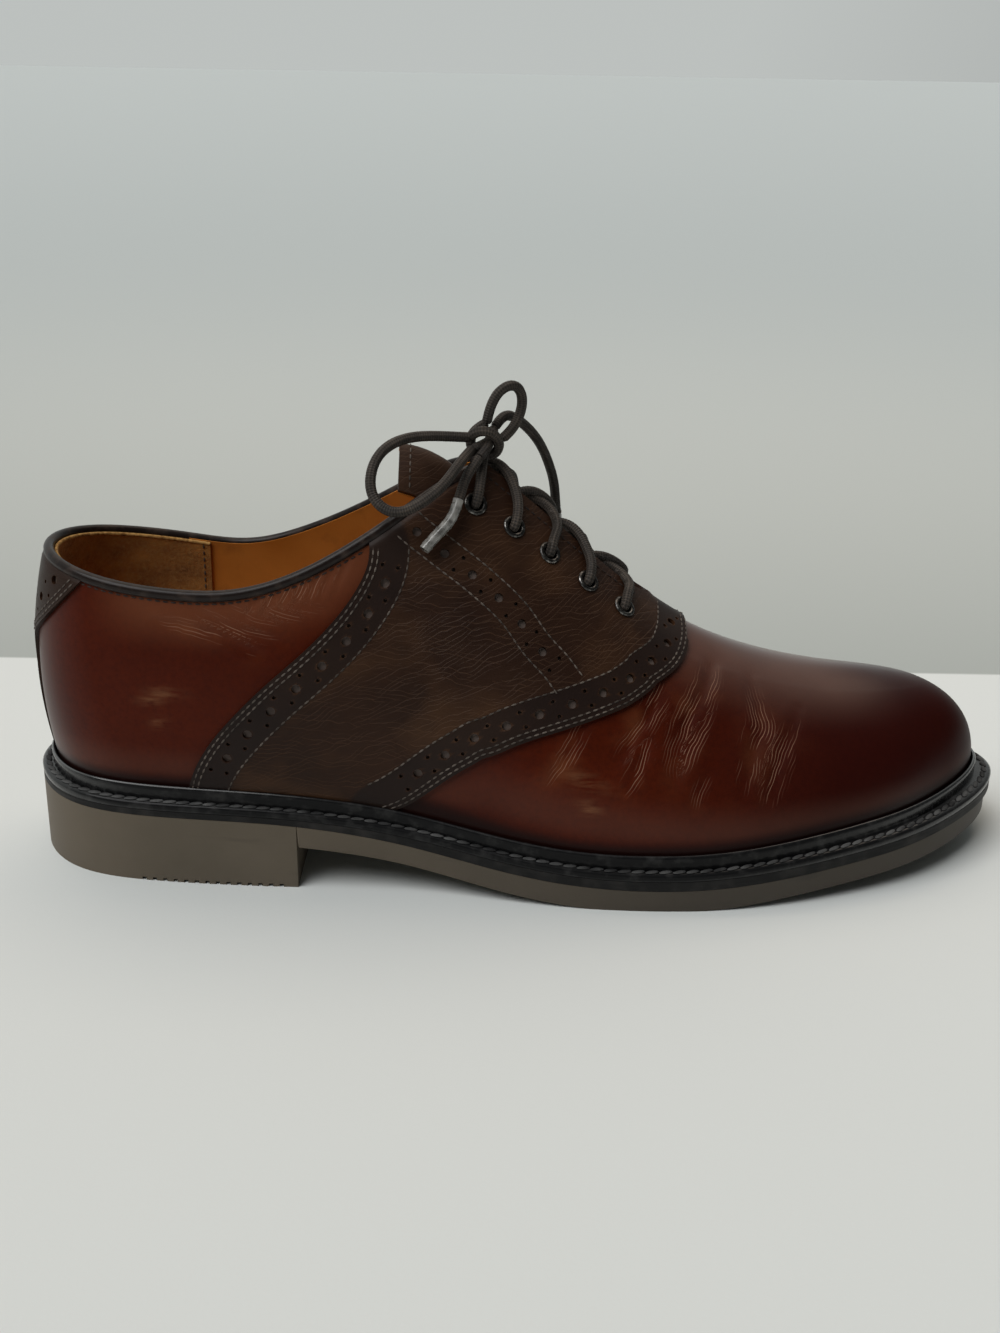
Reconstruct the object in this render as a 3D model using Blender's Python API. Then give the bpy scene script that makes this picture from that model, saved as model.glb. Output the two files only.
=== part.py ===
"""Right brogue oxford with a saddle: hollow upper on a shaped last, welted rubber sole, lace and bow.

The tables are in millimetres, percent and degrees, and the scene is in metres.
+X runs to the toe, +Y to the inner side of the foot, and the floor is z = 0.
"""

import math

import bmesh
import bpy
import numpy as np
from mathutils import Vector

MM = 0.001

# Driving sizes of the shoe, in millimetres
SOLE_LENGTH = 309.7
BALL_WIDTH = 105.4
INSTEP_HEIGHT = 125.0
HEEL_BREAST_X = 86.0
HEEL_TAPER = 1.3
TREAD_TAPER = 0.4

# Thicknesses and clearances, in millimetres
UPPER_WALL = 2.2
OVERLAY_WALL = 1.2
OVERLAY_GAP = 0.68
TONGUE_WALL = 1.6
TONGUE_GAP = 0.6
INSOLE_WALL = 3.0
INSOLE_GAP = 0.5
LAYER_GAP = 0.3
WELT_WALL = 2.6
WELT_LIP_HEIGHT = 6.2
WELT_LIP_WALL = 1.3
WELT_LIP_FLARE = 0.9
WELT_LIP_ROUND = 0.8

# Mesh steps, and how near two points are merged, in millimetres
SIDE_STEPS = 40
RIB_ROWS = 9
MERGE_DISTANCE = 0.01
SHARP_DEGREES = 50.0

# Shares of a rib: where the search for its top edge starts, and the highest place its direction is read
TOP_SEARCH_FROM = 0.3
TOP_SEARCH_STEPS = 281
NORMAL_LIMIT = 0.985
WELT_SEARCH_TO = 0.3
WELT_SEARCH_STEPS = 31

# Outline of the sole: along in percent of the length from the heel, out in percent of the ball width,
# and the width of the welt in millimetres
OUTLINE_COLUMNS = ("station", "outer_along", "outer_out", "inner_along", "inner_out", "welt")
OUTLINE = (
    ("heel back", 0.0, 0.0, 0.0, 0.0, 6.4),
    ("heel round", 4.4, -26.6, 4.4, 26.6, 5.4),
    ("heel side", 14.2, -36.4, 14.2, 34.6, 4.5),
    ("breast", 27.1, -38.7, 27.1, 32.3, 4.0),
    ("waist", 38.7, -40.0, 38.7, 31.8, 4.0),
    ("instep", 49.1, -45.0, 49.7, 39.4, 4.2),
    ("ball back", 60.4, -48.4, 62.0, 48.4, 4.6),
    ("ball front", 72.3, -46.1, 74.3, 51.6, 5.0),
    ("toe side", 83.3, -36.2, 85.6, 48.9, 5.4),
    ("toe round", 93.0, -19.5, 94.6, 38.9, 6.0),
    ("toe tip", 100.0, 12.3, 100.0, 12.3, 6.4),
)

# Ribs of the last at the same stations: crown point in percent of length, ball width and instep height,
# then the lean and length of the rib's lower handle and the slope and length of its upper handle
RIB_COLUMNS = ("station", "along", "middle", "half", "height", "lean", "wall", "slope", "brow")
RIBS = (
    ("heel back", 3.6, 0.0, 0.0, 88.0, 14.5, 30.0, 71.0, 30.0),
    ("heel round", 6.6, 0.0, 17.6, 87.2, 12.0, 30.0, 73.0, 28.0),
    ("heel side", 14.9, 0.0, 25.6, 87.2, 9.0, 32.0, 78.0, 28.0),
    ("breast", 26.5, 0.0, 20.9, 95.2, 9.0, 36.0, 72.0, 34.0),
    ("waist", 37.5, 0.5, 8.5, 108.0, 10.0, 38.0, 62.0, 36.0),
    ("instep", 48.1, 1.4, 0.0, 96.8, 12.0, 36.0, 36.0, 34.0),
    ("ball back", 59.4, 3.3, 0.0, 71.4, 14.0, 30.0, 21.0, 30.0),
    ("ball front", 69.7, 5.7, 0.0, 54.8, 14.0, 24.0, 10.0, 28.0),
    ("toe side", 78.8, 8.1, 0.0, 47.8, 10.0, 22.0, 9.0, 27.5),
    ("toe round", 84.6, 9.5, 0.0, 45.8, 8.0, 20.5, 8.0, 26.0),
    ("toe tip", 87.2, 10.4, 0.0, 44.8, 10.0, 19.5, 8.0, 25.5),
)

# Side profile of the sole: along from the heel, then heights of tread, rubber's top and the bed
PROFILE_COLUMNS = ("along", "tread", "rubber", "bed")
PROFILE = (
    (-4.0, 17.2, 23.4, 25.4),
    (44.0, 16.0, 22.6, 24.7),
    (86.0, 14.2, 21.2, 23.4),
    (118.0, 9.8, 16.4, 19.2),
    (148.0, 3.6, 10.6, 13.7),
    (174.0, 0.1, 7.5, 10.6),
    (192.0, -0.7, 6.9, 10.1),
    (208.0, -0.2, 7.2, 10.4),
    (238.0, 3.0, 9.7, 12.9),
    (272.0, 6.2, 12.9, 16.1),
    (294.0, 8.4, 15.1, 18.3),
    (314.0, 10.2, 17.0, 20.2),
)

# Top line of the collar: along from the heel and height, then steep past the facing's corner;
# on the inner side it dips lower at the waist
COLLAR_COLUMNS = ("along", "height")
COLLAR = (
    (7.0, 98.5),
    (27.0, 94.4),
    (50.0, 91.8),
    (67.0, 91.9),
    (82.0, 95.3),
    (94.0, 100.3),
    (104.5, 106.0),
    (115.0, 112.5),
    (125.0, 119.0),
    (133.0, 123.0),
    (140.0, 125.2),
    (146.0, 126.0),
)
COLLAR_CORNER_RISE = 3.0
INNER_DIP = 2.0
INNER_DIP_ALONG = 62.0
INNER_DIP_SPREAD = 20.0

# Throat: half its gap, where its front end lies round the foot, and how fast it closes there
THROAT_HALF = 3.4
THROAT_END = 0.625
THROAT_TAPER = 0.025
THROAT_FROM = 0.3

# Saddle: height as a share of the rib, then where its rear and front borders lie round the foot
SADDLE_COLUMNS = ("rise", "rear", "front")
SADDLE = (
    (0.00, 0.2210, 0.3560),
    (0.10, 0.2247, 0.3950),
    (0.20, 0.2313, 0.4315),
    (0.25, 0.2360, 0.4575),
    (0.28, 0.2392, 0.4790),
    (0.32, 0.2439, 0.4990),
    (0.40, 0.2549, 0.5380),
    (0.50, 0.2712, 0.5815),
    (0.60, 0.2915, 0.6155),
    (0.70, 0.3192, 0.6420),
    (0.80, 0.3499, 0.6565),
    (0.90, 0.3715, 0.6630),
    (1.00, 0.3735, 0.6650),
)
SADDLE_STEPS = (17, 11)

# Heel tab: height as a share of the rib, then half its width round the foot
HEEL_TAB_COLUMNS = ("rise", "half")
HEEL_TAB = (
    (0.00, 0.013),
    (0.50, 0.013),
    (0.62, 0.026),
    (0.72, 0.064),
    (0.85, 0.098),
    (1.00, 0.130),
)
HEEL_TAB_STEPS = (14, 8)
OVERLAY_FOOT_RISE = 0.105

# Tongue: half its width, ends round the foot, and the free stretch above the facings
TONGUE_HALF_FRONT = 22.0
TONGUE_HALF_BACK = 22.0
TONGUE_FRONT = 0.70
TONGUE_BACK = 0.478
TONGUE_ROWS = 9
TONGUE_COLUMNS = 8
TONGUE_FREE_ROWS = 4
TONGUE_FREE_REACH = (-20.0, 0.0, 9.0)
TONGUE_FREE_FLATTEN = 0.15
TONGUE_CREST = 0.6

# Eyelets: where they lie round the foot, their height on the rib, and the turned ring's radii and heights
EYELET_STATIONS = (0.4722, 0.5062, 0.5362, 0.5685, 0.6000)
EYELET_RISE = 0.876
EYELET_BORE = 2.0
EYELET_BARREL = 2.5
EYELET_FLANGE = 3.5
EYELET_HOLE = 2.85
EYELET_SEAT = OVERLAY_GAP + OVERLAY_WALL + LAYER_GAP
EYELET_LIP = 0.8
EYELET_LIP_ROUND = 0.5
EYELET_MOUTH_FLARE = 0.3
EYELET_SEGMENTS = 10
PUNCH_REACH = 6.0

# Lace: radius, how far its middle runs above the leather, and the crossings
LACE_RADIUS = 1.55
LACE_BEVEL_STEPS = 2
LACE_CLEARANCE = 0.9
LACE_LIFT = OVERLAY_GAP + OVERLAY_WALL + LACE_RADIUS + LACE_CLEARANCE
LACE_MOUTH = EYELET_SEAT + 0.2
STRAND_SPACING = 3.0
STRAND_BEND_SHARE = 0.4
STRAND_BEND_LIFT = 0.5
STRAND_OVER_SHARE = 0.4
STRAND_OVER_LIFT = 0.5
STRAND_PULL = 0.2
CROSSING_RISE = 2.8
KNOT_CENTRE = (141.6, -3.0, 132.6)
KNOT_RADII = (4.6, 4.3, 4.3)
AGLET_RADIUS = 1.5

# Routes of the bow in millimetres from the heel's back edge, chosen by hand
LOW_LOOP_ROUTE = (
    (136.9, -5.0, 133.6),
    (128.4, -8.5, 134.6),
    (118.6, -14.0, 135.0),
    (111.6, -20.0, 132.2),
    (108.8, -25.0, 126.5),
    (110.0, -28.0, 120.4),
    (115.4, -29.5, 117.0),
    (122.8, -28.0, 119.0),
    (129.6, -22.5, 123.6),
    (134.2, -14.5, 128.2),
    (137.6, -7.0, 130.6),
)
HIGH_LOOP_ROUTE = (
    (141.6, -2.2, 137.4),
    (143.0, -2.0, 142.8),
    (146.2, -1.0, 147.4),
    (149.6, 1.0, 148.1),
    (151.8, 3.0, 145.3),
    (151.6, 3.4, 139.4),
    (149.4, 1.6, 135.2),
    (146.4, -0.8, 132.4),
)
FAR_END_ROUTE = (
    (144.0, -0.1, 135.7),
    (147.0, 4.2, 138.2),
    (151.6, 10.0, 135.6),
    (157.2, 16.4, 128.6),
    (161.0, 22.6, 120.0),
    (163.4, 28.0, 110.6),
    (164.4, 31.8, 101.8),
)
FAR_TIP_ROUTE = (
    (164.5, 32.2, 101.2),
    (165.0, 35.6, 92.4),
    (165.2, 38.4, 83.6),
)
NEAR_END_ROUTE = (
    (139.8, -9.7, 128.8),
    (137.9, -11.6, 126.4),
    (135.7, -14.2, 122.9),
    (134.0, -18.0, 118.4),
)
NEAR_TIP_ROUTE = (
    (133.8, -18.4, 117.9),
    (131.6, -22.0, 112.8),
    (127.6, -25.0, 108.8),
    (124.2, -27.4, 105.2),
)

# Finishes: colour, roughness, metallic
FINISHES = {
    "mahogany_leather": ((0.115, 0.028, 0.013), 0.38, 0.0),
    "dark_brown_leather": ((0.035, 0.018, 0.012), 0.42, 0.0),
    "tan_leather": ((0.34, 0.15, 0.035), 0.55, 0.0),
    "black_welt": ((0.012, 0.012, 0.013), 0.4, 0.0),
    "taupe_rubber": ((0.095, 0.075, 0.056), 0.7, 0.0),
    "dark_metal": ((0.16, 0.15, 0.14), 0.35, 0.9),
    "brown_lace": ((0.035, 0.028, 0.024), 0.65, 0.0),
    "lace_tip": ((0.16, 0.16, 0.16), 0.3, 0.0),
}


# Curves through the tables


def column(table, columns, name):
    return np.array([row[columns.index(name)] for row in table], float)


def natural_spline(knots, values):
    """Smooth curve through a table's column."""
    count = len(knots)
    step = np.diff(knots)
    chord = np.diff(values) / step
    matrix = np.eye(count)
    right = np.zeros(count)
    for i in range(1, count - 1):
        matrix[i, i - 1 : i + 2] = step[i - 1], 2 * (step[i - 1] + step[i]), step[i]
        right[i] = 6 * (chord[i] - chord[i - 1])
    bend = np.linalg.solve(matrix, right)

    def at(x):
        x = np.asarray(x, float)
        i = np.clip(np.searchsorted(knots, x) - 1, 0, count - 2)
        t = x - knots[i]
        climb = chord[i] - step[i] * (2 * bend[i] + bend[i + 1]) / 6
        return values[i] + t * (climb + t * (bend[i] / 2 + t * (bend[i + 1] - bend[i]) / (6 * step[i])))

    return at


def loop_spline(outer, inner):
    """Smooth closed curve: heel to toe along the outer side, then back along the inner side, over 0 to 2."""
    values = np.concatenate([outer, inner[-2:0:-1]])
    count = len(values)
    matrix = 4.0 * np.eye(count) + np.roll(np.eye(count), 1, 0) + np.roll(np.eye(count), -1, 0)
    slope = np.linalg.solve(matrix, 3.0 * (np.roll(values, -1) - np.roll(values, 1)))

    def at(u):
        turn = np.mod(np.asarray(u, float) * count / 2, count)
        low = np.minimum(turn.astype(int), count - 1)
        high = (low + 1) % count
        t = turn - low
        rise = values[high] - values[low]
        curve = 3 * rise - 2 * slope[low] - slope[high] + t * (slope[low] + slope[high] - 2 * rise)
        return values[low] + t * (slope[low] + t * curve)

    return at


def outline_loop(outer_name, inner_name, scale):
    outer = column(OUTLINE, OUTLINE_COLUMNS, outer_name) * scale / 100
    inner = column(OUTLINE, OUTLINE_COLUMNS, inner_name) * scale / 100
    return loop_spline(outer, inner)


def rib_loop(name, scale=1.0, mirrored=False):
    values = column(RIBS, RIB_COLUMNS, name) * scale
    return loop_spline(-values if mirrored else values, values)


EDGE_X = outline_loop("outer_along", "inner_along", SOLE_LENGTH)
EDGE_Y = outline_loop("outer_out", "inner_out", BALL_WIDTH)
WELT_WIDTH = outline_loop("welt", "welt", 100)
CROWN_X = rib_loop("along", SOLE_LENGTH / 100)
CROWN_MIDDLE = rib_loop("middle", BALL_WIDTH / 100)
CROWN_HALF = rib_loop("half", BALL_WIDTH / 100, mirrored=True)
CROWN_Z = rib_loop("height", INSTEP_HEIGHT / 100)
RIB_LEAN = rib_loop("lean", math.pi / 180)
RIB_WALL = rib_loop("wall")
RIB_SLOPE = rib_loop("slope", math.pi / 180)
RIB_BROW = rib_loop("brow")
PROFILE_ALONG = column(PROFILE, PROFILE_COLUMNS, "along")
TREAD_Z = natural_spline(PROFILE_ALONG, column(PROFILE, PROFILE_COLUMNS, "tread"))
RUBBER_Z = natural_spline(PROFILE_ALONG, column(PROFILE, PROFILE_COLUMNS, "rubber"))
BED_Z = natural_spline(PROFILE_ALONG, column(PROFILE, PROFILE_COLUMNS, "bed"))
COLLAR_ALONG = column(COLLAR, COLLAR_COLUMNS, "along")
COLLAR_Z = natural_spline(COLLAR_ALONG, column(COLLAR, COLLAR_COLUMNS, "height"))


# The last: u runs 0 to 1 from heel to toe on the outer side and 1 to 2 back, v runs up a rib


def unit(vectors):
    return vectors / np.linalg.norm(vectors, axis=-1, keepdims=True)


def edge(u, inset=0.0):
    """Plan of the sole's edge, moved in by inset."""
    step = 0.001
    ahead = np.stack([EDGE_X(u + step), EDGE_Y(u + step)], -1)
    behind = np.stack([EDGE_X(u - step), EDGE_Y(u - step)], -1)
    tangent = unit(ahead - behind)
    outward = np.stack([tangent[..., 1], -tangent[..., 0]], -1)
    plan = np.stack([EDGE_X(u), EDGE_Y(u)], -1) - outward * np.asarray(inset)[..., None]
    return plan, outward


def with_height(plan, z):
    return np.concatenate([plan, np.broadcast_to(z, plan.shape[:-1])[..., None]], -1)


def toe_share(u):
    """How far from heel to toe, on either side."""
    turn = np.mod(u, 2.0)
    return np.minimum(turn, 2.0 - turn)


def rib(u, v):
    """Point of the last's surface: a cubic from the feather line to the crown."""
    u, v = np.broadcast_arrays(np.asarray(u, float), np.asarray(v, float))
    plan, outward = edge(u, WELT_WIDTH(u))
    out = with_height(outward, 0.0)
    up = np.array([0.0, 0.0, 1.0])
    foot = with_height(plan, BED_Z(plan[..., 0]))
    crown_y = CROWN_MIDDLE(u) + CROWN_HALF(u) * (toe_share(u) < THROAT_END)
    crown = np.stack([CROWN_X(u), crown_y, CROWN_Z(u)], -1)
    lean, slope = RIB_LEAN(u)[..., None], RIB_SLOPE(u)[..., None]
    low = foot + RIB_WALL(u)[..., None] * (np.sin(lean) * out + np.cos(lean) * up)
    high = crown + RIB_BROW(u)[..., None] * (np.cos(slope) * out - np.sin(slope) * up)
    t = v[..., None]
    s = 1 - t
    return s**3 * foot + 3 * s * s * t * low + 3 * s * t * t * high + t**3 * crown


def rib_normal(u, v):
    """Outward direction of the last's surface, read just below the crown where the ribs meet."""
    step = 0.002
    u = np.asarray(u, float)
    v = np.clip(v, step, NORMAL_LIMIT)
    along = rib(u + step, v) - rib(u - step, v)
    upward = rib(u, v + step) - rib(u, v - step)
    return unit(np.cross(along, upward))


def top_share_of(u):
    """Share of one rib that the upper keeps: to the collar, to the throat's edge or to the ridge."""
    share = np.linspace(TOP_SEARCH_FROM, 1.0, TOP_SEARCH_STEPS)
    points = rib(u, share)
    along = points[:, 0]
    forward = np.maximum(along - COLLAR_ALONG[-1], 0.0)
    collar = COLLAR_Z(np.clip(along, COLLAR_ALONG[0], COLLAR_ALONG[-1])) + COLLAR_CORNER_RISE * forward
    if u > 1.0:
        collar -= INNER_DIP * np.exp(-(((along - INNER_DIP_ALONG) / INNER_DIP_SPREAD) ** 2))
    past = points[:, 2] - collar
    place = toe_share(u)
    if place > THROAT_FROM:
        gap = THROAT_HALF * math.sqrt(np.clip((THROAT_END - place) / THROAT_TAPER, 0.0, 1.0))
        past = np.maximum(past, gap - np.abs(points[:, 1] - CROWN_MIDDLE(u)))
    if place >= THROAT_END or not (past > 0).any():
        return 1.0
    first = int(np.argmax(past > 0))
    return float(np.interp(0.0, past[first - 1 : first + 1], share[first - 1 : first + 1]))


TOP_U = np.linspace(0.0, 2.0, 1601)
TOP_SHARE = np.array([top_share_of(u) for u in TOP_U])


def on_upper(u, rise, lift=0.0):
    """Point on the finished upper: rise 0 to 1 from feather line to top edge, lift off the leather."""
    u = np.asarray(u, float)
    v = rise * np.interp(np.mod(u, 2.0), TOP_U, TOP_SHARE)
    return rib(u, v) + np.asarray(lift)[..., None] * rib_normal(u, v)


OUTER_U = np.linspace(0.0, 1.0, SIDE_STEPS + 1)
ROUND_U = np.concatenate([OUTER_U, 2.0 - OUTER_U[-2:0:-1]])
PLAN_POINTS = edge(np.linspace(0.0, 2.0, 2001))[0]
ORIGIN = np.append((PLAN_POINTS.max(0) + PLAN_POINTS.min(0)) / 2, 0.0)


def placed(points):
    """Millimetres from the heel's back edge to metres about the middle of the sole."""
    return (np.asarray(points, float) - ORIGIN) * MM


# Making objects


def material(name):
    if name in bpy.data.materials:
        return bpy.data.materials[name]
    colour, roughness, metallic = FINISHES[name]
    finish = bpy.data.materials.new(name)
    finish.use_nodes = True
    shader = finish.node_tree.nodes["Principled BSDF"]
    shader.inputs["Base Color"].default_value = (*colour, 1.0)
    shader.inputs["Roughness"].default_value = roughness
    shader.inputs["Metallic"].default_value = metallic
    finish.diffuse_color = (*colour, 1.0)
    return finish


def add_object(name, data, finish):
    piece = bpy.data.objects.new(name, data)
    bpy.context.collection.objects.link(piece)
    data.materials.append(material(finish))
    return piece


def add_mesh(name, points, faces, finish, merge=False):
    """Object from millimetre points and faces, smooth, with touching points merged where asked."""
    mesh = bpy.data.meshes.new(name)
    mesh.from_pydata([tuple(p) for p in placed(points)], [], faces)
    if merge:
        work = bmesh.new()
        work.from_mesh(mesh)
        bmesh.ops.remove_doubles(work, verts=work.verts, dist=MERGE_DISTANCE * MM)
        work.to_mesh(mesh)
        work.free()
    mesh.shade_smooth()
    mesh.set_sharp_from_angle(angle=math.radians(SHARP_DEGREES))
    return add_object(name, mesh, finish)


def thicken(piece, wall, outward):
    modifier = piece.modifiers.new("wall", "SOLIDIFY")
    modifier.thickness = wall * MM
    modifier.offset = 1.0 if outward else -1.0
    modifier.use_even_offset = True
    modifier.use_quality_normals = True


def combine(piece, other, operation):
    modifier = piece.modifiers.new(operation.lower(), "BOOLEAN")
    modifier.operation = operation
    modifier.solver = "EXACT"
    modifier.object = other
    other.hide_render = True
    other.display_type = "WIRE"


def grid_faces(rows, columns, wrap=False, start=0, flip=False):
    """Quads over points stored row by row, turned over where asked."""
    faces = []
    for i in range(rows if wrap else rows - 1):
        for j in range(columns - 1):
            low, high = start + i * columns + j, start + (i + 1) % rows * columns + j
            quad = (low, high, high + 1, low + 1)
            faces.append(quad[::-1] if flip else quad)
    return faces


def smooth_route(points, spacing):
    """Points at even spacing along a smooth curve through a route."""
    points = np.asarray(points, float)
    knots = np.append(0.0, np.cumsum(np.linalg.norm(np.diff(points, axis=0), axis=1)))
    count = max(4, int(round(knots[-1] / spacing)) + 1)
    along = np.linspace(0.0, knots[-1], count)
    return np.stack([natural_spline(knots, points[:, axis])(along) for axis in range(3)], -1)


def cord(name, route, radius, finish, spacing=5.0 * LACE_RADIUS):
    """Round cord along a route, closed at both ends."""
    points = placed(smooth_route(route, spacing))
    curve = bpy.data.curves.new(name, "CURVE")
    curve.dimensions = "3D"
    curve.bevel_depth = radius * MM
    curve.bevel_resolution = LACE_BEVEL_STEPS
    curve.use_fill_caps = True
    spline = curve.splines.new("POLY")
    spline.points.add(len(points) - 1)
    for point, place in zip(spline.points, points):
        point.co = (*place, 1.0)
    return add_object(name, curve, finish)


def cord_mesh(name, route, radius, finish):
    """The same cord as a mesh, so that it can be joined to another."""
    source = cord(name + "_route", route, radius, finish, STRAND_SPACING)
    graph = bpy.context.evaluated_depsgraph_get()
    mesh = bpy.data.meshes.new_from_object(source.evaluated_get(graph))
    bpy.data.objects.remove(source)
    work = bmesh.new()
    work.from_mesh(mesh)
    bmesh.ops.remove_doubles(work, verts=work.verts, dist=MERGE_DISTANCE * MM)
    bmesh.ops.recalc_face_normals(work, faces=work.faces)
    work.to_mesh(mesh)
    work.free()
    mesh.name = name
    piece = bpy.data.objects.new(name, mesh)
    bpy.context.collection.objects.link(piece)
    return piece


# Sole


def breast_stations():
    """Stations round the foot, with one on each side exactly at the heel's breast."""
    stations = ROUND_U.copy()
    fine = np.linspace(0.1, 0.5, 4001)
    outer = fine[np.argmin(np.abs(EDGE_X(fine) - HEEL_BREAST_X))]
    inner = fine[np.argmin(np.abs(EDGE_X(2.0 - fine) - HEEL_BREAST_X))]
    place = int(np.argmin(np.abs(OUTER_U - (outer + inner) / 2)))
    stations[place] = outer
    stations[-place] = 2.0 - inner
    return stations, place


def cap_faces(loop, flip):
    """Strips across a closed loop of points, from its outer side to its inner side."""
    faces = []
    for i in range(len(loop) // 2):
        strip = tuple(dict.fromkeys((loop[i], loop[i + 1], loop[-i - 1], loop[-i])))
        faces.append(strip[::-1] if flip else strip)
    return faces


def slab(name, inset, low, high, finish):
    """Layer of the sole between two height curves, with its edge moved in by inset."""
    plan = edge(ROUND_U, inset)[0]
    count = len(plan)
    points = np.concatenate([with_height(plan, low(plan[:, 0])), with_height(plan, high(plan[:, 0]))])
    bottom, top = list(range(count)), list(range(count, 2 * count))
    faces = cap_faces(bottom, True) + cap_faces(top, False)
    for i in range(count):
        after = (i + 1) % count
        faces.append((bottom[i], bottom[after], top[after], top[i]))
    return add_mesh(name, points, faces, finish)


def make_outsole():
    """Rubber sole and heel in one piece: flat heel, upright breast, arch, flat ball and toe spring."""
    stations, breast = breast_stations()
    count = len(stations)
    plan = edge(stations)[0]
    tread_plan = edge(stations, TREAD_TAPER)[0]
    heel_plan = edge(stations, HEEL_TAPER)[0]
    heel_plan[[breast, -breast], 0] = tread_plan[[breast, -breast], 0] = HEEL_BREAST_X
    tread = np.maximum(TREAD_Z(tread_plan[:, 0]), 0.0)
    top = with_height(plan, RUBBER_Z(plan[:, 0]))
    sole = with_height(tread_plan, tread)
    heel = with_height(heel_plan, 0.0)
    points = np.concatenate([top, sole, heel])
    rubber, arch, base = (list(range(k * count, (k + 1) * count)) for k in range(3))

    def lower(i):
        return base[i] if i <= breast or i >= count - breast else arch[i]

    faces = cap_faces(rubber, False)
    for i in range(count):
        after = (i + 1) % count
        low_a = arch[i] if i == breast else lower(i)
        low_b = arch[after] if after == count - breast else lower(after)
        side = [low_a, low_b, rubber[after], rubber[i]]
        if after == breast:
            side.insert(2, arch[breast])
        if i == count - breast:
            side.insert(0, arch[i])
            side = side[1:] + side[:1]
        faces.append(tuple(side))
    for i in range(count // 2):
        ring = base if i < breast else arch
        strip = (ring[i], ring[i + 1], ring[-i - 1], ring[-i])
        faces.append(tuple(dict.fromkeys(strip))[::-1])
    faces.append((base[breast], base[-breast], arch[-breast], arch[breast]))
    return add_mesh("outsole", points, faces, "taupe_rubber")


def make_midsole():
    return slab(
        "midsole",
        0.0,
        lambda x: RUBBER_Z(x) + LAYER_GAP,
        lambda x: BED_Z(x) - LAYER_GAP,
        "black_welt",
    )


def make_insole():
    inset = WELT_WIDTH(ROUND_U) + UPPER_WALL + INSOLE_GAP
    return slab("insole", inset, BED_Z, lambda x: BED_Z(x) + INSOLE_WALL, "tan_leather")


def make_welt():
    """Strip round the feather line: a shelf out to the sole's edge and a lip up the leather."""
    plan, outward = edge(ROUND_U, 0.0)
    out = with_height(outward, 0.0)
    bed = BED_Z(plan[:, 0])
    share = np.linspace(0.0, WELT_SEARCH_TO, WELT_SEARCH_STEPS)
    ribs = rib(ROUND_U[:, None], share[None, :])

    def beside(height, gap):
        """Point beside the leather at a height above the bed."""
        found = []
        for points, away in zip(ribs, out):
            level = points[0, 2] + height
            spot = [np.interp(level, points[:, 2], points[:, axis]) for axis in range(3)]
            found.append(np.array(spot) + gap * away)
        return np.array(found)

    lip_out = LAYER_GAP + WELT_LIP_WALL
    section = (
        with_height(plan, bed),
        with_height(plan, bed + WELT_WALL),
        beside(WELT_WALL, lip_out + WELT_LIP_FLARE),
        beside(WELT_LIP_HEIGHT - WELT_LIP_ROUND, lip_out),
        beside(WELT_LIP_HEIGHT, LAYER_GAP),
        beside(0.0, LAYER_GAP),
    )
    points = np.stack(section, 1)
    rows, columns = points.shape[:2]
    closed = np.concatenate([points, points[:, :1]], 1).reshape(-1, 3)
    faces = grid_faces(rows, columns + 1, wrap=True)
    return add_mesh("welt", closed, faces, "black_welt", merge=True)


# Upper and its overlays


def make_upper():
    """One hollow wall over the last, open at collar, throat and underneath."""
    rise = np.linspace(0.0, 1.0, RIB_ROWS + 1)
    points = on_upper(ROUND_U[:, None], rise[None, :])
    faces = grid_faces(len(ROUND_U), len(rise), wrap=True)
    upper = add_mesh("upper", points.reshape(-1, 3), faces, "mahogany_leather", merge=True)
    thicken(upper, UPPER_WALL, outward=False)
    return upper


def make_saddle():
    """Overlay across the instep: both facings, joined on the ridge in front of the throat."""
    heights = column(SADDLE, SADDLE_COLUMNS, "rise")
    steps_round, steps_up = SADDLE_STEPS
    rise = np.linspace(OVERLAY_FOOT_RISE, 1.0, steps_up + 1)
    rear = natural_spline(heights, column(SADDLE, SADDLE_COLUMNS, "rear"))(rise)
    front = natural_spline(heights, column(SADDLE, SADDLE_COLUMNS, "front"))(rise)
    across = np.linspace(0.0, 1.0, steps_round + 1)[:, None]
    u = rear * (1 - across) + front * across
    outer = on_upper(u, rise, OVERLAY_GAP)
    inner = on_upper(2.0 - u, rise, OVERLAY_GAP)
    joined = u[:, -1] >= THROAT_END
    outer[joined, -1] = inner[joined, -1] = (outer[joined, -1] + inner[joined, -1]) / 2
    points = np.concatenate([outer.reshape(-1, 3), inner.reshape(-1, 3)])
    faces = grid_faces(steps_round + 1, steps_up + 1)
    faces += grid_faces(steps_round + 1, steps_up + 1, start=outer.size // 3, flip=True)
    saddle = add_mesh("saddle", points, faces, "dark_brown_leather", merge=True)
    thicken(saddle, OVERLAY_WALL, outward=True)
    return saddle


def make_heel_tab():
    """Flared tab at the back of the collar with a strip down the heel seam."""
    steps_round, steps_up = HEEL_TAB_STEPS
    rise = np.linspace(OVERLAY_FOOT_RISE, 1.0, steps_up + 1)
    heights = column(HEEL_TAB, HEEL_TAB_COLUMNS, "rise")
    half = np.interp(rise, heights, column(HEEL_TAB, HEEL_TAB_COLUMNS, "half"))
    u = np.linspace(-1.0, 1.0, steps_round + 1)[:, None] * half
    points = on_upper(u, rise, OVERLAY_GAP)
    faces = grid_faces(steps_round + 1, steps_up + 1)
    tab = add_mesh("heel_tab", points.reshape(-1, 3), faces, "dark_brown_leather")
    thicken(tab, OVERLAY_WALL, outward=True)
    return tab


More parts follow.
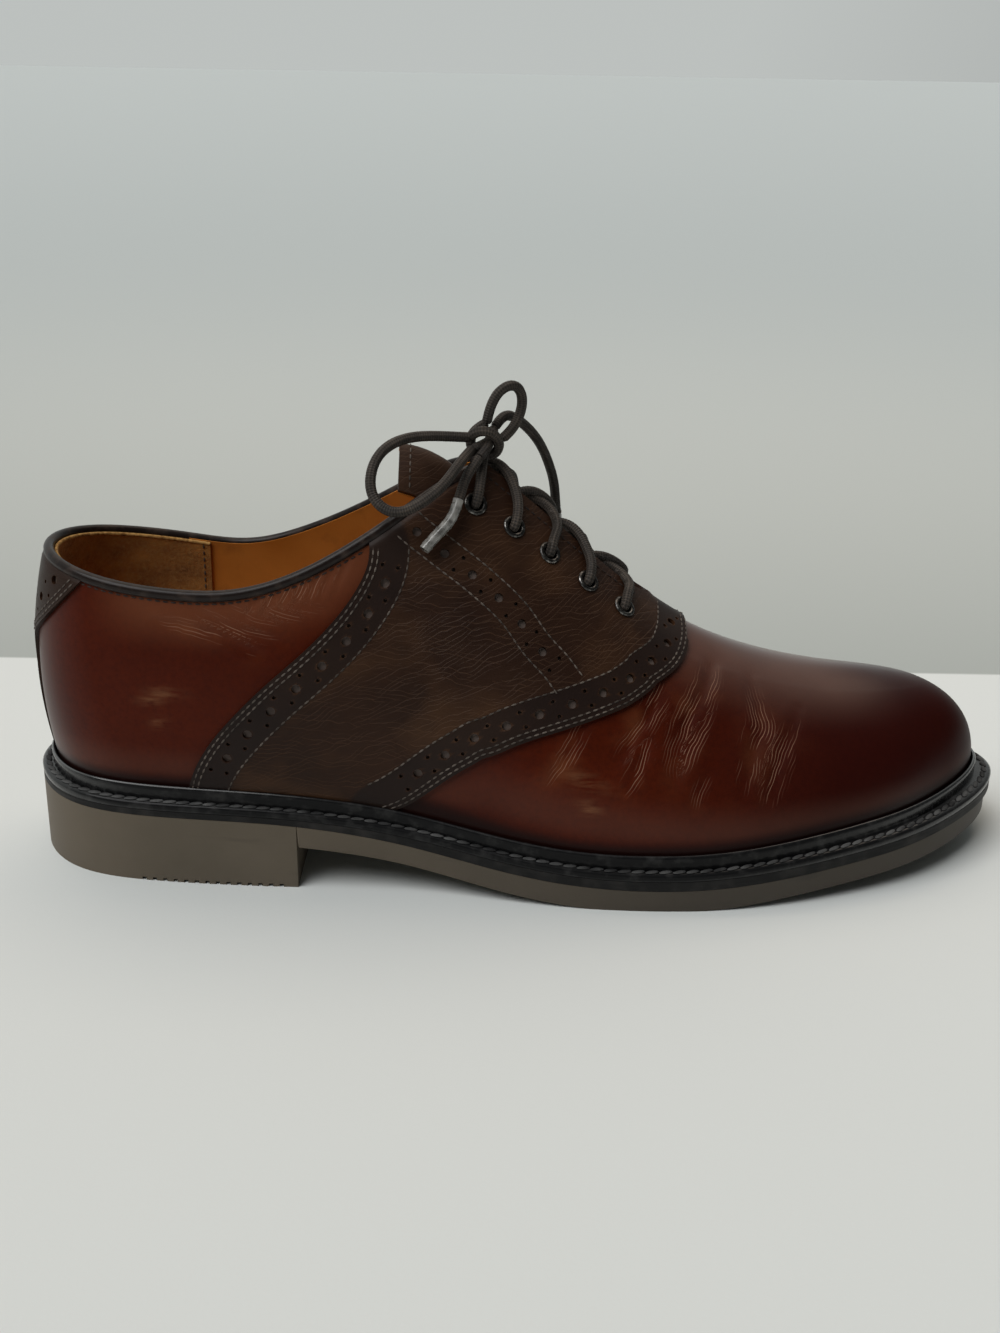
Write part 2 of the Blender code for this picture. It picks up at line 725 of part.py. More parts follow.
def make_tongue():
    """Sheet under the facings, following the upper's inside, with a free end that flattens behind them."""
    depth = -(UPPER_WALL + TONGUE_GAP)
    across = np.linspace(-1.0, 1.0, TONGUE_COLUMNS + 1)
    middle = TONGUE_COLUMNS // 2
    rows = []
    stations = np.linspace(TONGUE_FRONT, TONGUE_BACK, TONGUE_ROWS)
    halves = np.linspace(TONGUE_HALF_FRONT, TONGUE_HALF_BACK, TONGUE_ROWS)
    for u, half in zip(stations, halves):
        v = 1.0 - np.abs(across) * half / (3.0 * RIB_BROW(u))
        station = np.where(across <= 0, u, 2.0 - u)
        row = rib(station, v) + depth * rib_normal(station, v)
        row[middle] = (row[middle - 1] + row[middle + 1]) / 2
        row[middle, 2] = row[middle - 1 : middle + 2, 2].max() + TONGUE_CREST
        rows.append(row)
    held = rows[-1]
    crest = held[middle]
    for k in range(1, TONGUE_FREE_ROWS + 1):
        share = k / TONGUE_FREE_ROWS
        row = held + share * np.array(TONGUE_FREE_REACH)
        row[:, 2] += TONGUE_FREE_FLATTEN * share**2 * (crest[2] - held[:, 2])
        rows.append(row)
    points = np.array(rows)
    faces = grid_faces(len(rows), TONGUE_COLUMNS + 1, flip=True)
    tongue = add_mesh("tongue", points.reshape(-1, 3), faces, "dark_brown_leather")
    thicken(tongue, TONGUE_WALL, outward=False)
    return tongue


# Eyelets and lace


def eyelet_place(station, inner):
    """Middle of an eyelet on the upper's surface and the direction it faces."""
    u = 2.0 - station if inner else station
    foot = on_upper(u, EYELET_RISE)
    return foot, unit(on_upper(u, EYELET_RISE, 1.0) - foot)


def turned_ring(work, centre, axis, profile):
    """Ring turned about an axis from a closed profile of radii and heights."""
    axis = Vector(axis)
    side = axis.orthogonal().normalized()
    middle = Vector(placed(centre))
    ring = [work.verts.new(middle + (side * radius + axis * height) * MM) for radius, height in profile]
    rim = [work.edges.new((a, b)) for a, b in zip(ring, ring[1:] + ring[:1])]
    bmesh.ops.spin(
        work,
        geom=ring + rim,
        cent=middle,
        axis=axis,
        angle=math.tau,
        steps=EYELET_SEGMENTS,
        use_merge=True,
    )
    bmesh.ops.remove_doubles(work, verts=work.verts, dist=MERGE_DISTANCE * MM)
    bmesh.ops.recalc_face_normals(work, faces=work.faces)


def make_eyelet(name, station, inner):
    """Turned metal eyelet: a barrel through saddle and upper with a rolled flange outside."""
    profile = (
        (EYELET_BORE, LAYER_GAP - UPPER_WALL),
        (EYELET_BARREL, LAYER_GAP - UPPER_WALL),
        (EYELET_BARREL, EYELET_SEAT),
        (EYELET_FLANGE, EYELET_SEAT),
        (EYELET_FLANGE - EYELET_LIP_ROUND, EYELET_SEAT + EYELET_LIP),
        (EYELET_BORE + EYELET_MOUTH_FLARE, EYELET_SEAT + EYELET_LIP),
    )
    centre, axis = eyelet_place(station, inner)
    work = bmesh.new()
    turned_ring(work, centre, axis, profile)
    mesh = bpy.data.meshes.new(name)
    work.to_mesh(mesh)
    work.free()
    mesh.shade_smooth()
    mesh.set_sharp_from_angle(angle=math.radians(SHARP_DEGREES))
    return add_object(name, mesh, "dark_metal")


def make_eyelet_punch():
    """Round cutters for the eyelet holes through saddle and upper."""
    work = bmesh.new()
    for station in EYELET_STATIONS:
        for inner in (False, True):
            centre, axis = eyelet_place(station, inner)
            turn = Vector((0, 0, 1)).rotation_difference(Vector(axis)).to_matrix().to_4x4()
            made = bmesh.ops.create_cone(
                work,
                cap_ends=True,
                segments=EYELET_SEGMENTS,
                radius1=EYELET_HOLE * MM,
                radius2=EYELET_HOLE * MM,
                depth=2 * PUNCH_REACH * MM,
            )
            bmesh.ops.transform(work, matrix=turn, verts=made["verts"])
            bmesh.ops.translate(work, vec=Vector(placed(centre)), verts=made["verts"])
    mesh = bpy.data.meshes.new("eyelet_punch")
    work.to_mesh(mesh)
    work.free()
    punch = bpy.data.objects.new("eyelet_punch", mesh)
    bpy.context.collection.objects.link(punch)
    return punch


def crossing_point(station_a, station_b):
    """Where two strands cross over the throat, above the ridge."""
    u = (station_a + station_b) / 2
    crest = (rib(u, 1.0) + rib(2.0 - u, 1.0)) / 2
    return crest + np.array([0.0, 0.0, CROSSING_RISE])


def strand_route(station, inner, target):
    """Strand up out of an eyelet and over the facing's edge to a point above the throat."""
    u = 2.0 - station if inner else station
    target = np.asarray(target)
    middle_rise = (EYELET_RISE + 1.0) / 2
    bend_rise = EYELET_RISE + STRAND_BEND_SHARE * (middle_rise - EYELET_RISE)
    over_rise = middle_rise + STRAND_OVER_SHARE * (1.0 - middle_rise)
    mouth = on_upper(u, EYELET_RISE, LACE_MOUTH)
    above = on_upper(u, EYELET_RISE, LACE_MOUTH + LACE_RADIUS)
    bend = on_upper(u, bend_rise, LACE_LIFT + STRAND_BEND_LIFT)
    over = on_upper(u, over_rise, LACE_LIFT + STRAND_OVER_LIFT)
    return [mouth, above, bend, over + STRAND_PULL * (target - over), target]


def make_crossings():
    """Criss-cross strands, each pair joined where it crosses over the throat."""
    crossings = []
    pairs = zip(EYELET_STATIONS[1:], EYELET_STATIONS)
    for number, (low, high) in enumerate(pairs, start=1):
        target = crossing_point(low, high)
        name = f"lace_crossing_{number}"
        outer = cord_mesh(name, strand_route(low, False, target), LACE_RADIUS, "brown_lace")
        inner = cord_mesh(name + "_partner", strand_route(low, True, target), LACE_RADIUS, "brown_lace")
        combine(outer, inner, "UNION")
        crossings.append(outer)
    return crossings


def make_knot():
    """Knot of the bow with the two strands that rise to it from the top eyelets."""
    work = bmesh.new()
    bmesh.ops.create_icosphere(work, subdivisions=2, radius=MM)
    bmesh.ops.scale(work, vec=KNOT_RADII, verts=work.verts)
    bmesh.ops.translate(work, vec=Vector(placed(KNOT_CENTRE)), verts=work.verts)
    mesh = bpy.data.meshes.new("lace_knot")
    work.to_mesh(mesh)
    work.free()
    mesh.shade_smooth()
    knot = add_object("lace_knot", mesh, "brown_lace")
    for inner in (False, True):
        side = "inner" if inner else "outer"
        route = strand_route(EYELET_STATIONS[0], inner, KNOT_CENTRE)
        riser = cord_mesh(f"lace_riser_{side}", route, LACE_RADIUS, "brown_lace")
        combine(knot, riser, "UNION")
    return knot


def make_bow():
    cord("lace_loop_low", LOW_LOOP_ROUTE, LACE_RADIUS, "brown_lace")
    cord("lace_loop_high", HIGH_LOOP_ROUTE, LACE_RADIUS, "brown_lace")
    cord("lace_end_near", NEAR_END_ROUTE, LACE_RADIUS, "brown_lace")
    cord("lace_end_far", FAR_END_ROUTE, LACE_RADIUS, "brown_lace")
    cord("lace_tip_near", NEAR_TIP_ROUTE, AGLET_RADIUS, "lace_tip")
    cord("lace_tip_far", FAR_TIP_ROUTE, AGLET_RADIUS, "lace_tip")


def main():
    for piece in list(bpy.data.objects):
        bpy.data.objects.remove(piece)
    make_outsole()
    make_midsole()
    make_insole()
    make_welt()
    upper = make_upper()
    saddle = make_saddle()
    make_heel_tab()
    make_tongue()
    punch = make_eyelet_punch()
    combine(upper, punch, "DIFFERENCE")
    combine(saddle, punch, "DIFFERENCE")
    for number, station in enumerate(EYELET_STATIONS, start=1):
        make_eyelet(f"eyelet_outer_{number}", station, False)
        make_eyelet(f"eyelet_inner_{number}", station, True)
    make_crossings()
    make_knot()
    make_bow()


main()
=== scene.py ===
# %% [markdown]
# # A brogue oxford in Blender, piece by piece
# This lesson dresses a packed shoe model. The frame holds the plain solids at their real size.
# Each step below makes one piece of the shoe, or one finish, and puts it where the frame says.

# %% Load the frame
import math

import bmesh
import bpy
import numpy as np
from mathutils import Matrix, Vector


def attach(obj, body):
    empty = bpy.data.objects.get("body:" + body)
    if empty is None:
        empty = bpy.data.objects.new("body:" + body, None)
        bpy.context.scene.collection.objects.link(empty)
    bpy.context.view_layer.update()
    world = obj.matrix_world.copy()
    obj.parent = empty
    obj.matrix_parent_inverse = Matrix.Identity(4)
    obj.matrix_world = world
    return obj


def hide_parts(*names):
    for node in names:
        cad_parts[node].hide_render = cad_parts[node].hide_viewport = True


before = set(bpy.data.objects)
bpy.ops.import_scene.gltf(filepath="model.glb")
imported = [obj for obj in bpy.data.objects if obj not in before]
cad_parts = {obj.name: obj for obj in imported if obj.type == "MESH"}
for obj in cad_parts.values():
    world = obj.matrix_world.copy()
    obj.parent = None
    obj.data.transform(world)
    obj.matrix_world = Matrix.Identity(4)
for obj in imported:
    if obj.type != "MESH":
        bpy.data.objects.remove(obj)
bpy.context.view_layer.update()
MM = 0.001
print("solids in the frame:", len(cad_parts))

# %% [markdown]
# ## Camera
# The shoe is seen from its outer side, from a little above, with the camera turned by one degree.
# A camera could be aimed with a constraint. Two turns written out are easier to read and to change.

# %% Place the camera
PICTURE_TALL = 1333
FOCAL_PIXELS = 1562
SENSOR = 36.0
CAMERA_PLACE = (-0.0080, -0.4655, 0.2368)
CAMERA_PITCH = math.radians(21.0)
CAMERA_ROLL = math.radians(1.0)

camera_data = bpy.data.cameras.new("camera")
camera_data.sensor_width = SENSOR
camera_data.lens = FOCAL_PIXELS * SENSOR / PICTURE_TALL
camera = bpy.data.objects.new("camera", camera_data)
aim = Matrix.Rotation(math.pi / 2 - CAMERA_PITCH, 4, "X") @ Matrix.Rotation(CAMERA_ROLL, 4, "Z")
camera.matrix_world = Matrix.Translation(CAMERA_PLACE) @ aim
bpy.context.scene.collection.objects.link(camera)
bpy.context.scene.camera = camera
print("lens", round(camera_data.lens, 1), "mm")

# %% [markdown]
# ## The last
# A shoe is pulled over a wooden form, the last, and every piece follows that form.
# So the lesson first repeats the last: an outline of the sole and a row of ribs that rise from it.
# Short tables hold the sizes, and smooth curves run through their columns.

# %% Sizes of the last, in millimetres
SOLE_LENGTH = 309.7
BALL_WIDTH = 105.4
INSTEP_HEIGHT = 125.0
HEEL_BREAST_X = 86.0

OUTLINE_COLUMNS = ("outer_along", "outer_out", "inner_along", "inner_out", "welt")
OUTLINE = (
    (0.0, 0.0, 0.0, 0.0, 6.4),
    (4.4, -26.6, 4.4, 26.6, 5.4),
    (14.2, -36.4, 14.2, 34.6, 4.5),
    (27.1, -38.7, 27.1, 32.3, 4.0),
    (38.7, -40.0, 38.7, 31.8, 4.0),
    (49.1, -45.0, 49.7, 39.4, 4.2),
    (60.4, -48.4, 62.0, 48.4, 4.6),
    (72.3, -46.1, 74.3, 51.6, 5.0),
    (83.3, -36.2, 85.6, 48.9, 5.4),
    (93.0, -19.5, 94.6, 38.9, 6.0),
    (100.0, 12.3, 100.0, 12.3, 6.4),
)
RIB_COLUMNS = ("along", "middle", "half", "height", "lean", "wall", "slope", "brow")
RIBS = (
    (3.6, 0.0, 0.0, 88.0, 14.5, 30.0, 71.0, 30.0),
    (6.6, 0.0, 17.6, 87.2, 12.0, 30.0, 73.0, 28.0),
    (14.9, 0.0, 25.6, 87.2, 9.0, 32.0, 78.0, 28.0),
    (26.5, 0.0, 20.9, 95.2, 9.0, 36.0, 72.0, 34.0),
    (37.5, 0.5, 8.5, 108.0, 10.0, 38.0, 62.0, 36.0),
    (48.1, 1.4, 0.0, 96.8, 12.0, 36.0, 36.0, 34.0),
    (59.4, 3.3, 0.0, 71.4, 14.0, 30.0, 21.0, 30.0),
    (69.7, 5.7, 0.0, 54.8, 14.0, 24.0, 10.0, 28.0),
    (78.8, 8.1, 0.0, 47.8, 10.0, 22.0, 9.0, 27.5),
    (84.6, 9.5, 0.0, 45.8, 8.0, 20.5, 8.0, 26.0),
    (87.2, 10.4, 0.0, 44.8, 10.0, 19.5, 8.0, 25.5),
)
PROFILE_COLUMNS = ("along", "tread", "rubber", "bed")
PROFILE = (
    (-4.0, 17.2, 23.4, 25.4),
    (44.0, 16.0, 22.6, 24.7),
    (86.0, 14.2, 21.2, 23.4),
    (118.0, 9.8, 16.4, 19.2),
    (148.0, 3.6, 10.6, 13.7),
    (174.0, 0.1, 7.5, 10.6),
    (192.0, -0.7, 6.9, 10.1),
    (208.0, -0.2, 7.2, 10.4),
    (238.0, 3.0, 9.7, 12.9),
    (272.0, 6.2, 12.9, 16.1),
    (294.0, 8.4, 15.1, 18.3),
    (314.0, 10.2, 17.0, 20.2),
)
COLLAR_COLUMNS = ("along", "height")
COLLAR = (
    (7.0, 98.5),
    (27.0, 94.4),
    (50.0, 91.8),
    (67.0, 91.9),
    (82.0, 95.3),
    (94.0, 100.3),
    (104.5, 106.0),
    (115.0, 112.5),
    (125.0, 119.0),
    (133.0, 123.0),
    (140.0, 125.2),
    (146.0, 126.0),
)
COLLAR_CORNER_RISE = 3.0
INNER_DIP = 2.0
INNER_DIP_ALONG = 62.0
INNER_DIP_SPREAD = 20.0
THROAT_HALF = 3.4
THROAT_END = 0.625
THROAT_TAPER = 0.025
THROAT_FROM = 0.3

# %% [markdown]
# A natural spline bends as little as it can between its points, as a thin batten does.
# The outline needs a closed one, because it runs round the foot and comes back to the heel.
# The letter u says where round the foot: 0 to 1 from heel to toe outside, 1 to 2 back inside.

# %% Smooth curves through the tables
def column(table, columns, name):
    return np.array([row[columns.index(name)] for row in table], float)


def natural_spline(knots, values):
    count = len(knots)
    step = np.diff(knots)
    chord = np.diff(values) / step
    matrix = np.eye(count)
    right = np.zeros(count)
    for i in range(1, count - 1):
        matrix[i, i - 1 : i + 2] = step[i - 1], 2 * (step[i - 1] + step[i]), step[i]
        right[i] = 6 * (chord[i] - chord[i - 1])
    bend = np.linalg.solve(matrix, right)

    def at(x):
        x = np.asarray(x, float)
        i = np.clip(np.searchsorted(knots, x) - 1, 0, count - 2)
        t = x - knots[i]
        climb = chord[i] - step[i] * (2 * bend[i] + bend[i + 1]) / 6
        return values[i] + t * (climb + t * (bend[i] / 2 + t * (bend[i + 1] - bend[i]) / (6 * step[i])))

    return at


def loop_spline(outer, inner):
    values = np.concatenate([outer, inner[-2:0:-1]])
    count = len(values)
    matrix = 4.0 * np.eye(count) + np.roll(np.eye(count), 1, 0) + np.roll(np.eye(count), -1, 0)
    slope = np.linalg.solve(matrix, 3.0 * (np.roll(values, -1) - np.roll(values, 1)))

    def at(u):
        turn = np.mod(np.asarray(u, float) * count / 2, count)
        low = np.minimum(turn.astype(int), count - 1)
        high = (low + 1) % count
        t = turn - low
        rise = values[high] - values[low]
        curve = 3 * rise - 2 * slope[low] - slope[high] + t * (slope[low] + slope[high] - 2 * rise)
        return values[low] + t * (slope[low] + t * curve)

    return at


def outline_loop(outer_name, inner_name, scale):
    outer = column(OUTLINE, OUTLINE_COLUMNS, outer_name) * scale / 100
    return loop_spline(outer, column(OUTLINE, OUTLINE_COLUMNS, inner_name) * scale / 100)


def rib_loop(name, scale=1.0, mirrored=False):
    values = column(RIBS, RIB_COLUMNS, name) * scale
    return loop_spline(-values if mirrored else values, values)


def profile_curve(name):
    return natural_spline(column(PROFILE, PROFILE_COLUMNS, "along"), column(PROFILE, PROFILE_COLUMNS, name))


EDGE_X = outline_loop("outer_along", "inner_along", SOLE_LENGTH)
EDGE_Y = outline_loop("outer_out", "inner_out", BALL_WIDTH)
WELT_WIDTH = outline_loop("welt", "welt", 100)
CROWN_X = rib_loop("along", SOLE_LENGTH / 100)
CROWN_MIDDLE = rib_loop("middle", BALL_WIDTH / 100)
CROWN_HALF = rib_loop("half", BALL_WIDTH / 100, mirrored=True)
CROWN_Z = rib_loop("height", INSTEP_HEIGHT / 100)
RIB_LEAN = rib_loop("lean", math.pi / 180)
RIB_WALL = rib_loop("wall")
RIB_SLOPE = rib_loop("slope", math.pi / 180)
RIB_BROW = rib_loop("brow")
TREAD_Z = profile_curve("tread")
RUBBER_Z = profile_curve("rubber")
BED_Z = profile_curve("bed")
COLLAR_ALONG = column(COLLAR, COLLAR_COLUMNS, "along")
COLLAR_Z = natural_spline(COLLAR_ALONG, column(COLLAR, COLLAR_COLUMNS, "height"))
print("sole from", float(EDGE_X(0.0)), "to", float(EDGE_X(1.0)), "mm")

# %% [markdown]
# Each rib is a cubic curve from the feather line, where the upper meets the sole, to the crown.
# The upper keeps a share of each rib: up to the collar, the lacing's edge or the ridge of the vamp.
# With that, a place on the shoe is two numbers, u and rise, and a lift off the leather in millimetres.

# %% Places on the upper
def unit(vectors):
    return vectors / np.linalg.norm(vectors, axis=-1, keepdims=True)


def edge(u, inset=0.0):
    step = 0.001
    ahead = np.stack([EDGE_X(u + step), EDGE_Y(u + step)], -1)
    behind = np.stack([EDGE_X(u - step), EDGE_Y(u - step)], -1)
    tangent = unit(ahead - behind)
    outward = np.stack([tangent[..., 1], -tangent[..., 0]], -1)
    plan = np.stack([EDGE_X(u), EDGE_Y(u)], -1) - outward * np.asarray(inset)[..., None]
    return plan, outward


def with_height(plan, z):
    return np.concatenate([plan, np.broadcast_to(z, plan.shape[:-1])[..., None]], -1)


def toe_share(u):
    turn = np.mod(u, 2.0)
    return np.minimum(turn, 2.0 - turn)


def rib(u, v):
    u, v = np.broadcast_arrays(np.asarray(u, float), np.asarray(v, float))
    plan, outward = edge(u, WELT_WIDTH(u))
    out = with_height(outward, 0.0)
    up = np.array([0.0, 0.0, 1.0])
    foot = with_height(plan, BED_Z(plan[..., 0]))
    crown_y = CROWN_MIDDLE(u) + CROWN_HALF(u) * (toe_share(u) < THROAT_END)
    crown = np.stack([CROWN_X(u), crown_y, CROWN_Z(u)], -1)
    lean, slope = RIB_LEAN(u)[..., None], RIB_SLOPE(u)[..., None]
    low = foot + RIB_WALL(u)[..., None] * (np.sin(lean) * out + np.cos(lean) * up)
    high = crown + RIB_BROW(u)[..., None] * (np.cos(slope) * out - np.sin(slope) * up)
    t = v[..., None]
    s = 1 - t
    return s**3 * foot + 3 * s * s * t * low + 3 * s * t * t * high + t**3 * crown


def rib_normal(u, v):
    step = 0.002
    u = np.asarray(u, float)
    v = np.clip(v, step, 0.985)
    along = rib(u + step, v) - rib(u - step, v)
    upward = rib(u, v + step) - rib(u, v - step)
    return unit(np.cross(along, upward))


def top_share_of(u):
    share = np.linspace(0.3, 1.0, 281)
    points = rib(u, share)
    along = points[:, 0]
    forward = np.maximum(along - COLLAR_ALONG[-1], 0.0)
    collar = COLLAR_Z(np.clip(along, COLLAR_ALONG[0], COLLAR_ALONG[-1])) + COLLAR_CORNER_RISE * forward
    if u > 1.0:
        collar -= INNER_DIP * np.exp(-(((along - INNER_DIP_ALONG) / INNER_DIP_SPREAD) ** 2))
    past = points[:, 2] - collar
    place = toe_share(u)
    if place > THROAT_FROM:
        gap = THROAT_HALF * math.sqrt(np.clip((THROAT_END - place) / THROAT_TAPER, 0.0, 1.0))
        past = np.maximum(past, gap - np.abs(points[:, 1] - CROWN_MIDDLE(u)))
    if place >= THROAT_END or not (past > 0).any():
        return 1.0
    first = int(np.argmax(past > 0))
    return float(np.interp(0.0, past[first - 1 : first + 1], share[first - 1 : first + 1]))


TOP_U = np.linspace(0.0, 2.0, 1601)
TOP_SHARE = np.array([top_share_of(u) for u in TOP_U])
PLAN_POINTS = edge(np.linspace(0.0, 2.0, 2001))[0]
ORIGIN = np.append((PLAN_POINTS.max(0) + PLAN_POINTS.min(0)) / 2, 0.0)


def rib_share(u, rise):
    """Share of the whole rib at a rise, which counts only up to the trimmed edge."""
    return rise * np.interp(np.mod(u, 2.0), TOP_U, TOP_SHARE)


def on_rib(u, share, lift=0.0):
    u, share = np.broadcast_arrays(np.asarray(u, float), np.asarray(share, float))
    return rib(u, share) + np.asarray(lift)[..., None] * rib_normal(u, share)


def on_upper(u, rise, lift=0.0):
    return on_rib(u, rib_share(u, rise), lift)


def placed(points):
    """Millimetres from the heel's back edge to metres in the frame."""
    return (np.asarray(points, float) - ORIGIN) * MM


TOP_GAP = np.abs(on_upper(TOP_U, 1.0)[:, 1] - CROWN_MIDDLE(TOP_U))
FACING_FROM = int(np.searchsorted(TOP_U, THROAT_FROM))
CORNER_U = float(TOP_U[FACING_FROM + np.argmax(TOP_GAP[FACING_FROM:] < THROAT_HALF + 0.3)])
print("facing corner at u", round(CORNER_U, 3))

# %% [markdown]
# ## Helpers for meshes
# Most leather pieces are sheets, so they start as a flat grid that is bent to the shoe.
# The same grid makes a tube when its two long sides meet: merging the doubled points closes it.
# A column of numbers can ride on the points, for the finishes to read later.

# %% Bend a grid, and make a piece of it
MERGE = 0.02 * MM


def bent_grid(points, columns=None):
    """bmesh grid bent to millimetre points of shape (long, wide, 3), with named numbers on its points."""
    long_steps, wide_steps = points.shape[0] - 1, points.shape[1] - 1
    work = bmesh.new()
    bmesh.ops.create_grid(work, x_segments=long_steps, y_segments=wide_steps, size=1.0)
    flat = (np.array([vert.co for vert in work.verts]) + 1.0) / 2
    i = np.rint(flat[:, 0] * long_steps).astype(int)
    j = np.rint(flat[:, 1] * wide_steps).astype(int)
    for vert, place in zip(work.verts, placed(points)[i, j]):
        vert.co = place
    for name, values in (columns or {}).items():
        layer = work.verts.layers.float.new(name)
        for vert, value in zip(work.verts, np.broadcast_to(values, points.shape[:2])[i, j]):
            vert[layer] = value
    return work


def join(work, other):
    """Adds a second bmesh to the first."""
    carrier = bpy.data.meshes.new("carrier")
    other.to_mesh(carrier)
    other.free()
    work.from_mesh(carrier)
    bpy.data.meshes.remove(carrier)


def close_up(work):
    bmesh.ops.remove_doubles(work, verts=work.verts, dist=MERGE)
    bmesh.ops.recalc_face_normals(work, faces=work.faces)


def shade(mesh, sharp=35.0):
    mesh.shade_smooth()
    mesh.set_sharp_from_angle(angle=math.radians(sharp))


def add_piece(name, work, finish, nodes=(), sharp=35.0):
    """Object from a bmesh that rides on the shoe and stands for solids of the frame."""
    mesh = bpy.data.meshes.new(name)
    work.to_mesh(mesh)
    work.free()
    shade(mesh, sharp)
    mesh.materials.append(finish)
    piece = bpy.data.objects.new(name, mesh)
    bpy.context.scene.collection.objects.link(piece)
    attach(piece, "root")
    if nodes:
        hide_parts(*nodes)
    print(name, len(mesh.polygons), "faces")
    return piece


def settle(piece, sharp=35.0):
    """Applies the modifiers of a piece to its mesh."""
    graph = bpy.context.evaluated_depsgraph_get()
    mesh = bpy.data.meshes.new_from_object(piece.evaluated_get(graph))
    piece.modifiers.clear()
    piece.vertex_groups.clear()
    old = piece.data
    piece.data = mesh
    bpy.data.meshes.remove(old)
    mesh.name = piece.name
    shade(mesh, sharp)


def thicken(piece, wall, outward, thin_column=None, thinnest=0.3):
    """Wall by Solidify, pared thin where a column of the mesh says so."""
    modifier = piece.modifiers.new("wall", "SOLIDIFY")
    modifier.thickness = wall * MM
    modifier.offset = 1.0 if outward else -1.0
    modifier.use_quality_normals = True
    if thin_column:
        group = piece.vertex_groups.new(name="full")
        for index, value in enumerate(piece.data.attributes[thin_column].data):
            group.add([index], value.value, "REPLACE")
        modifier.vertex_group = "full"
        modifier.thickness_vertex_group = thinnest


# %% [markdown]
# ## Helpers for finishes
# A finish is a small tree of nodes that ends in one shader. A few short functions keep the trees readable:
# they add a node and link its inputs, mix two colours, or turn a height into a bump.
# Values that are the same everywhere are set on the shader itself.

# %% Build node trees
def add_node(tree, kind, inputs=None, **settings):
    made = tree.nodes.new(kind)
    for name, value in settings.items():
        setattr(made, name, value)
    for name, value in (inputs or {}).items():
        if isinstance(value, bpy.types.NodeSocket):
            tree.links.new(value, made.inputs[name])
        else:
            made.inputs[name].default_value = value
    return made


def noise(tree, place, scale, detail=2.0, stretch=None, roughness=0.5):
    if stretch:
        place = add_node(tree, "ShaderNodeMapping", {"Vector": place, "Scale": stretch}).outputs[0]
    made = add_node(tree, "ShaderNodeTexNoise", {"Vector": place, "Scale": scale, "Detail": detail})
    made.inputs["Roughness"].default_value = roughness
    return made.outputs[0]


def limits(tree, value, low, high, to_low=0.0, to_high=1.0):
    ends = {"Value": value, "From Min": low, "From Max": high, "To Min": to_low, "To Max": to_high}
    return add_node(tree, "ShaderNodeMapRange", ends).outputs[0]


def maths(tree, operation, first, second=0.0):
    return add_node(tree, "ShaderNodeMath", {0: first, 1: second}, operation=operation).outputs[0]


def mix(tree, share, first, second):
    """Colour between two, by a share from 0 to 1."""
    return add_node(
        tree, "ShaderNodeMix", {0: share, 6: first, 7: second}, data_type="RGBA", clamp_factor=True
    ).outputs[2]


def bump(tree, height, strength, depth, before=None):
    inputs = {"Height": height, "Strength": strength, "Distance": depth}
    if before:
        inputs["Normal"] = before
    return add_node(tree, "ShaderNodeBump", inputs).outputs[0]


def column_of(tree, name):
    """Number that rides on the piece's points."""
    return add_node(tree, "ShaderNodeAttribute", attribute_name=name).outputs["Fac"]


def rim_share(tree):
    """0 where a face looks at the camera, and 1 at its rim."""
    return add_node(tree, "ShaderNodeLayerWeight", {"Blend": 0.5}).outputs["Facing"]


def start_finish(name, **sockets):
    finish = bpy.data.materials.new(name)
    finish.use_nodes = True
    tree = finish.node_tree
    shader = tree.nodes["Principled BSDF"]
    for socket, value in sockets.items():
        shader.inputs[socket.replace("_", " ")].default_value = value
    place = add_node(tree, "ShaderNodeTexCoord").outputs["Object"]
    return finish, tree, shader, place


def rgb(red, green, blue):
    return (red, green, blue, 1.0)


def end_finish(tree, shader, colour=None, roughness=None, normal=None):
    for name, value in (("Base Color", colour), ("Roughness", roughness), ("Normal", normal)):
        if value is not None:
            tree.links.new(value, shader.inputs[name])


# %% [markdown]
# ## Lace
# The lace is a round waxed braid of 3.1 mm. It zigzags up through the eyelets and ends in a bow.
# The loops and ends of the bow are free cords, so their routes are short lists of given points.
# A curve with a bevel would do. A grid wrapped into a tube also keeps the place along and around the braid.

# %% Braid and tip finishes
LACE_RADIUS = 1.55
BRAID_PITCH = 1.5


def make_braid_finish():
    finish, tree, shader, place = start_finish("waxed_braid", Specular_IOR_Level=0.35)
    along = maths(tree, "MULTIPLY", column_of(tree, "along"), math.tau / BRAID_PITCH)
    around = maths(tree, "MULTIPLY", column_of(tree, "around"), 4 * math.tau)
    one_way = maths(tree, "SINE", maths(tree, "ADD", along, around))
    other_way = maths(tree, "SINE", maths(tree, "SUBTRACT", along, around))
    weave = limits(tree, maths(tree, "MULTIPLY", one_way, other_way), -1.0, 1.0)
    fibre = noise(tree, place, 2600.0, 3.0)
    wear = limits(tree, noise(tree, place, 160.0, 3.0), 0.42, 0.68)
    # The braid is painted darker in the grooves between its strands, as painted shade, and lighter on the
    # raised strands.
    colour = mix(tree, weave, rgb(0.0095, 0.0075, 0.0062), rgb(0.042, 0.033, 0.027))
    colour = mix(tree, maths(tree, "MULTIPLY", wear, weave), colour, rgb(0.075, 0.058, 0.045))
    relief = maths(tree, "ADD", weave, maths(tree, "MULTIPLY", fibre, 0.7))
    normal = bump(tree, relief, 0.8, 0.0003)
    end_finish(tree, shader, colour, limits(tree, fibre, 0.3, 0.7, 0.55, 0.8), normal)
    return finish


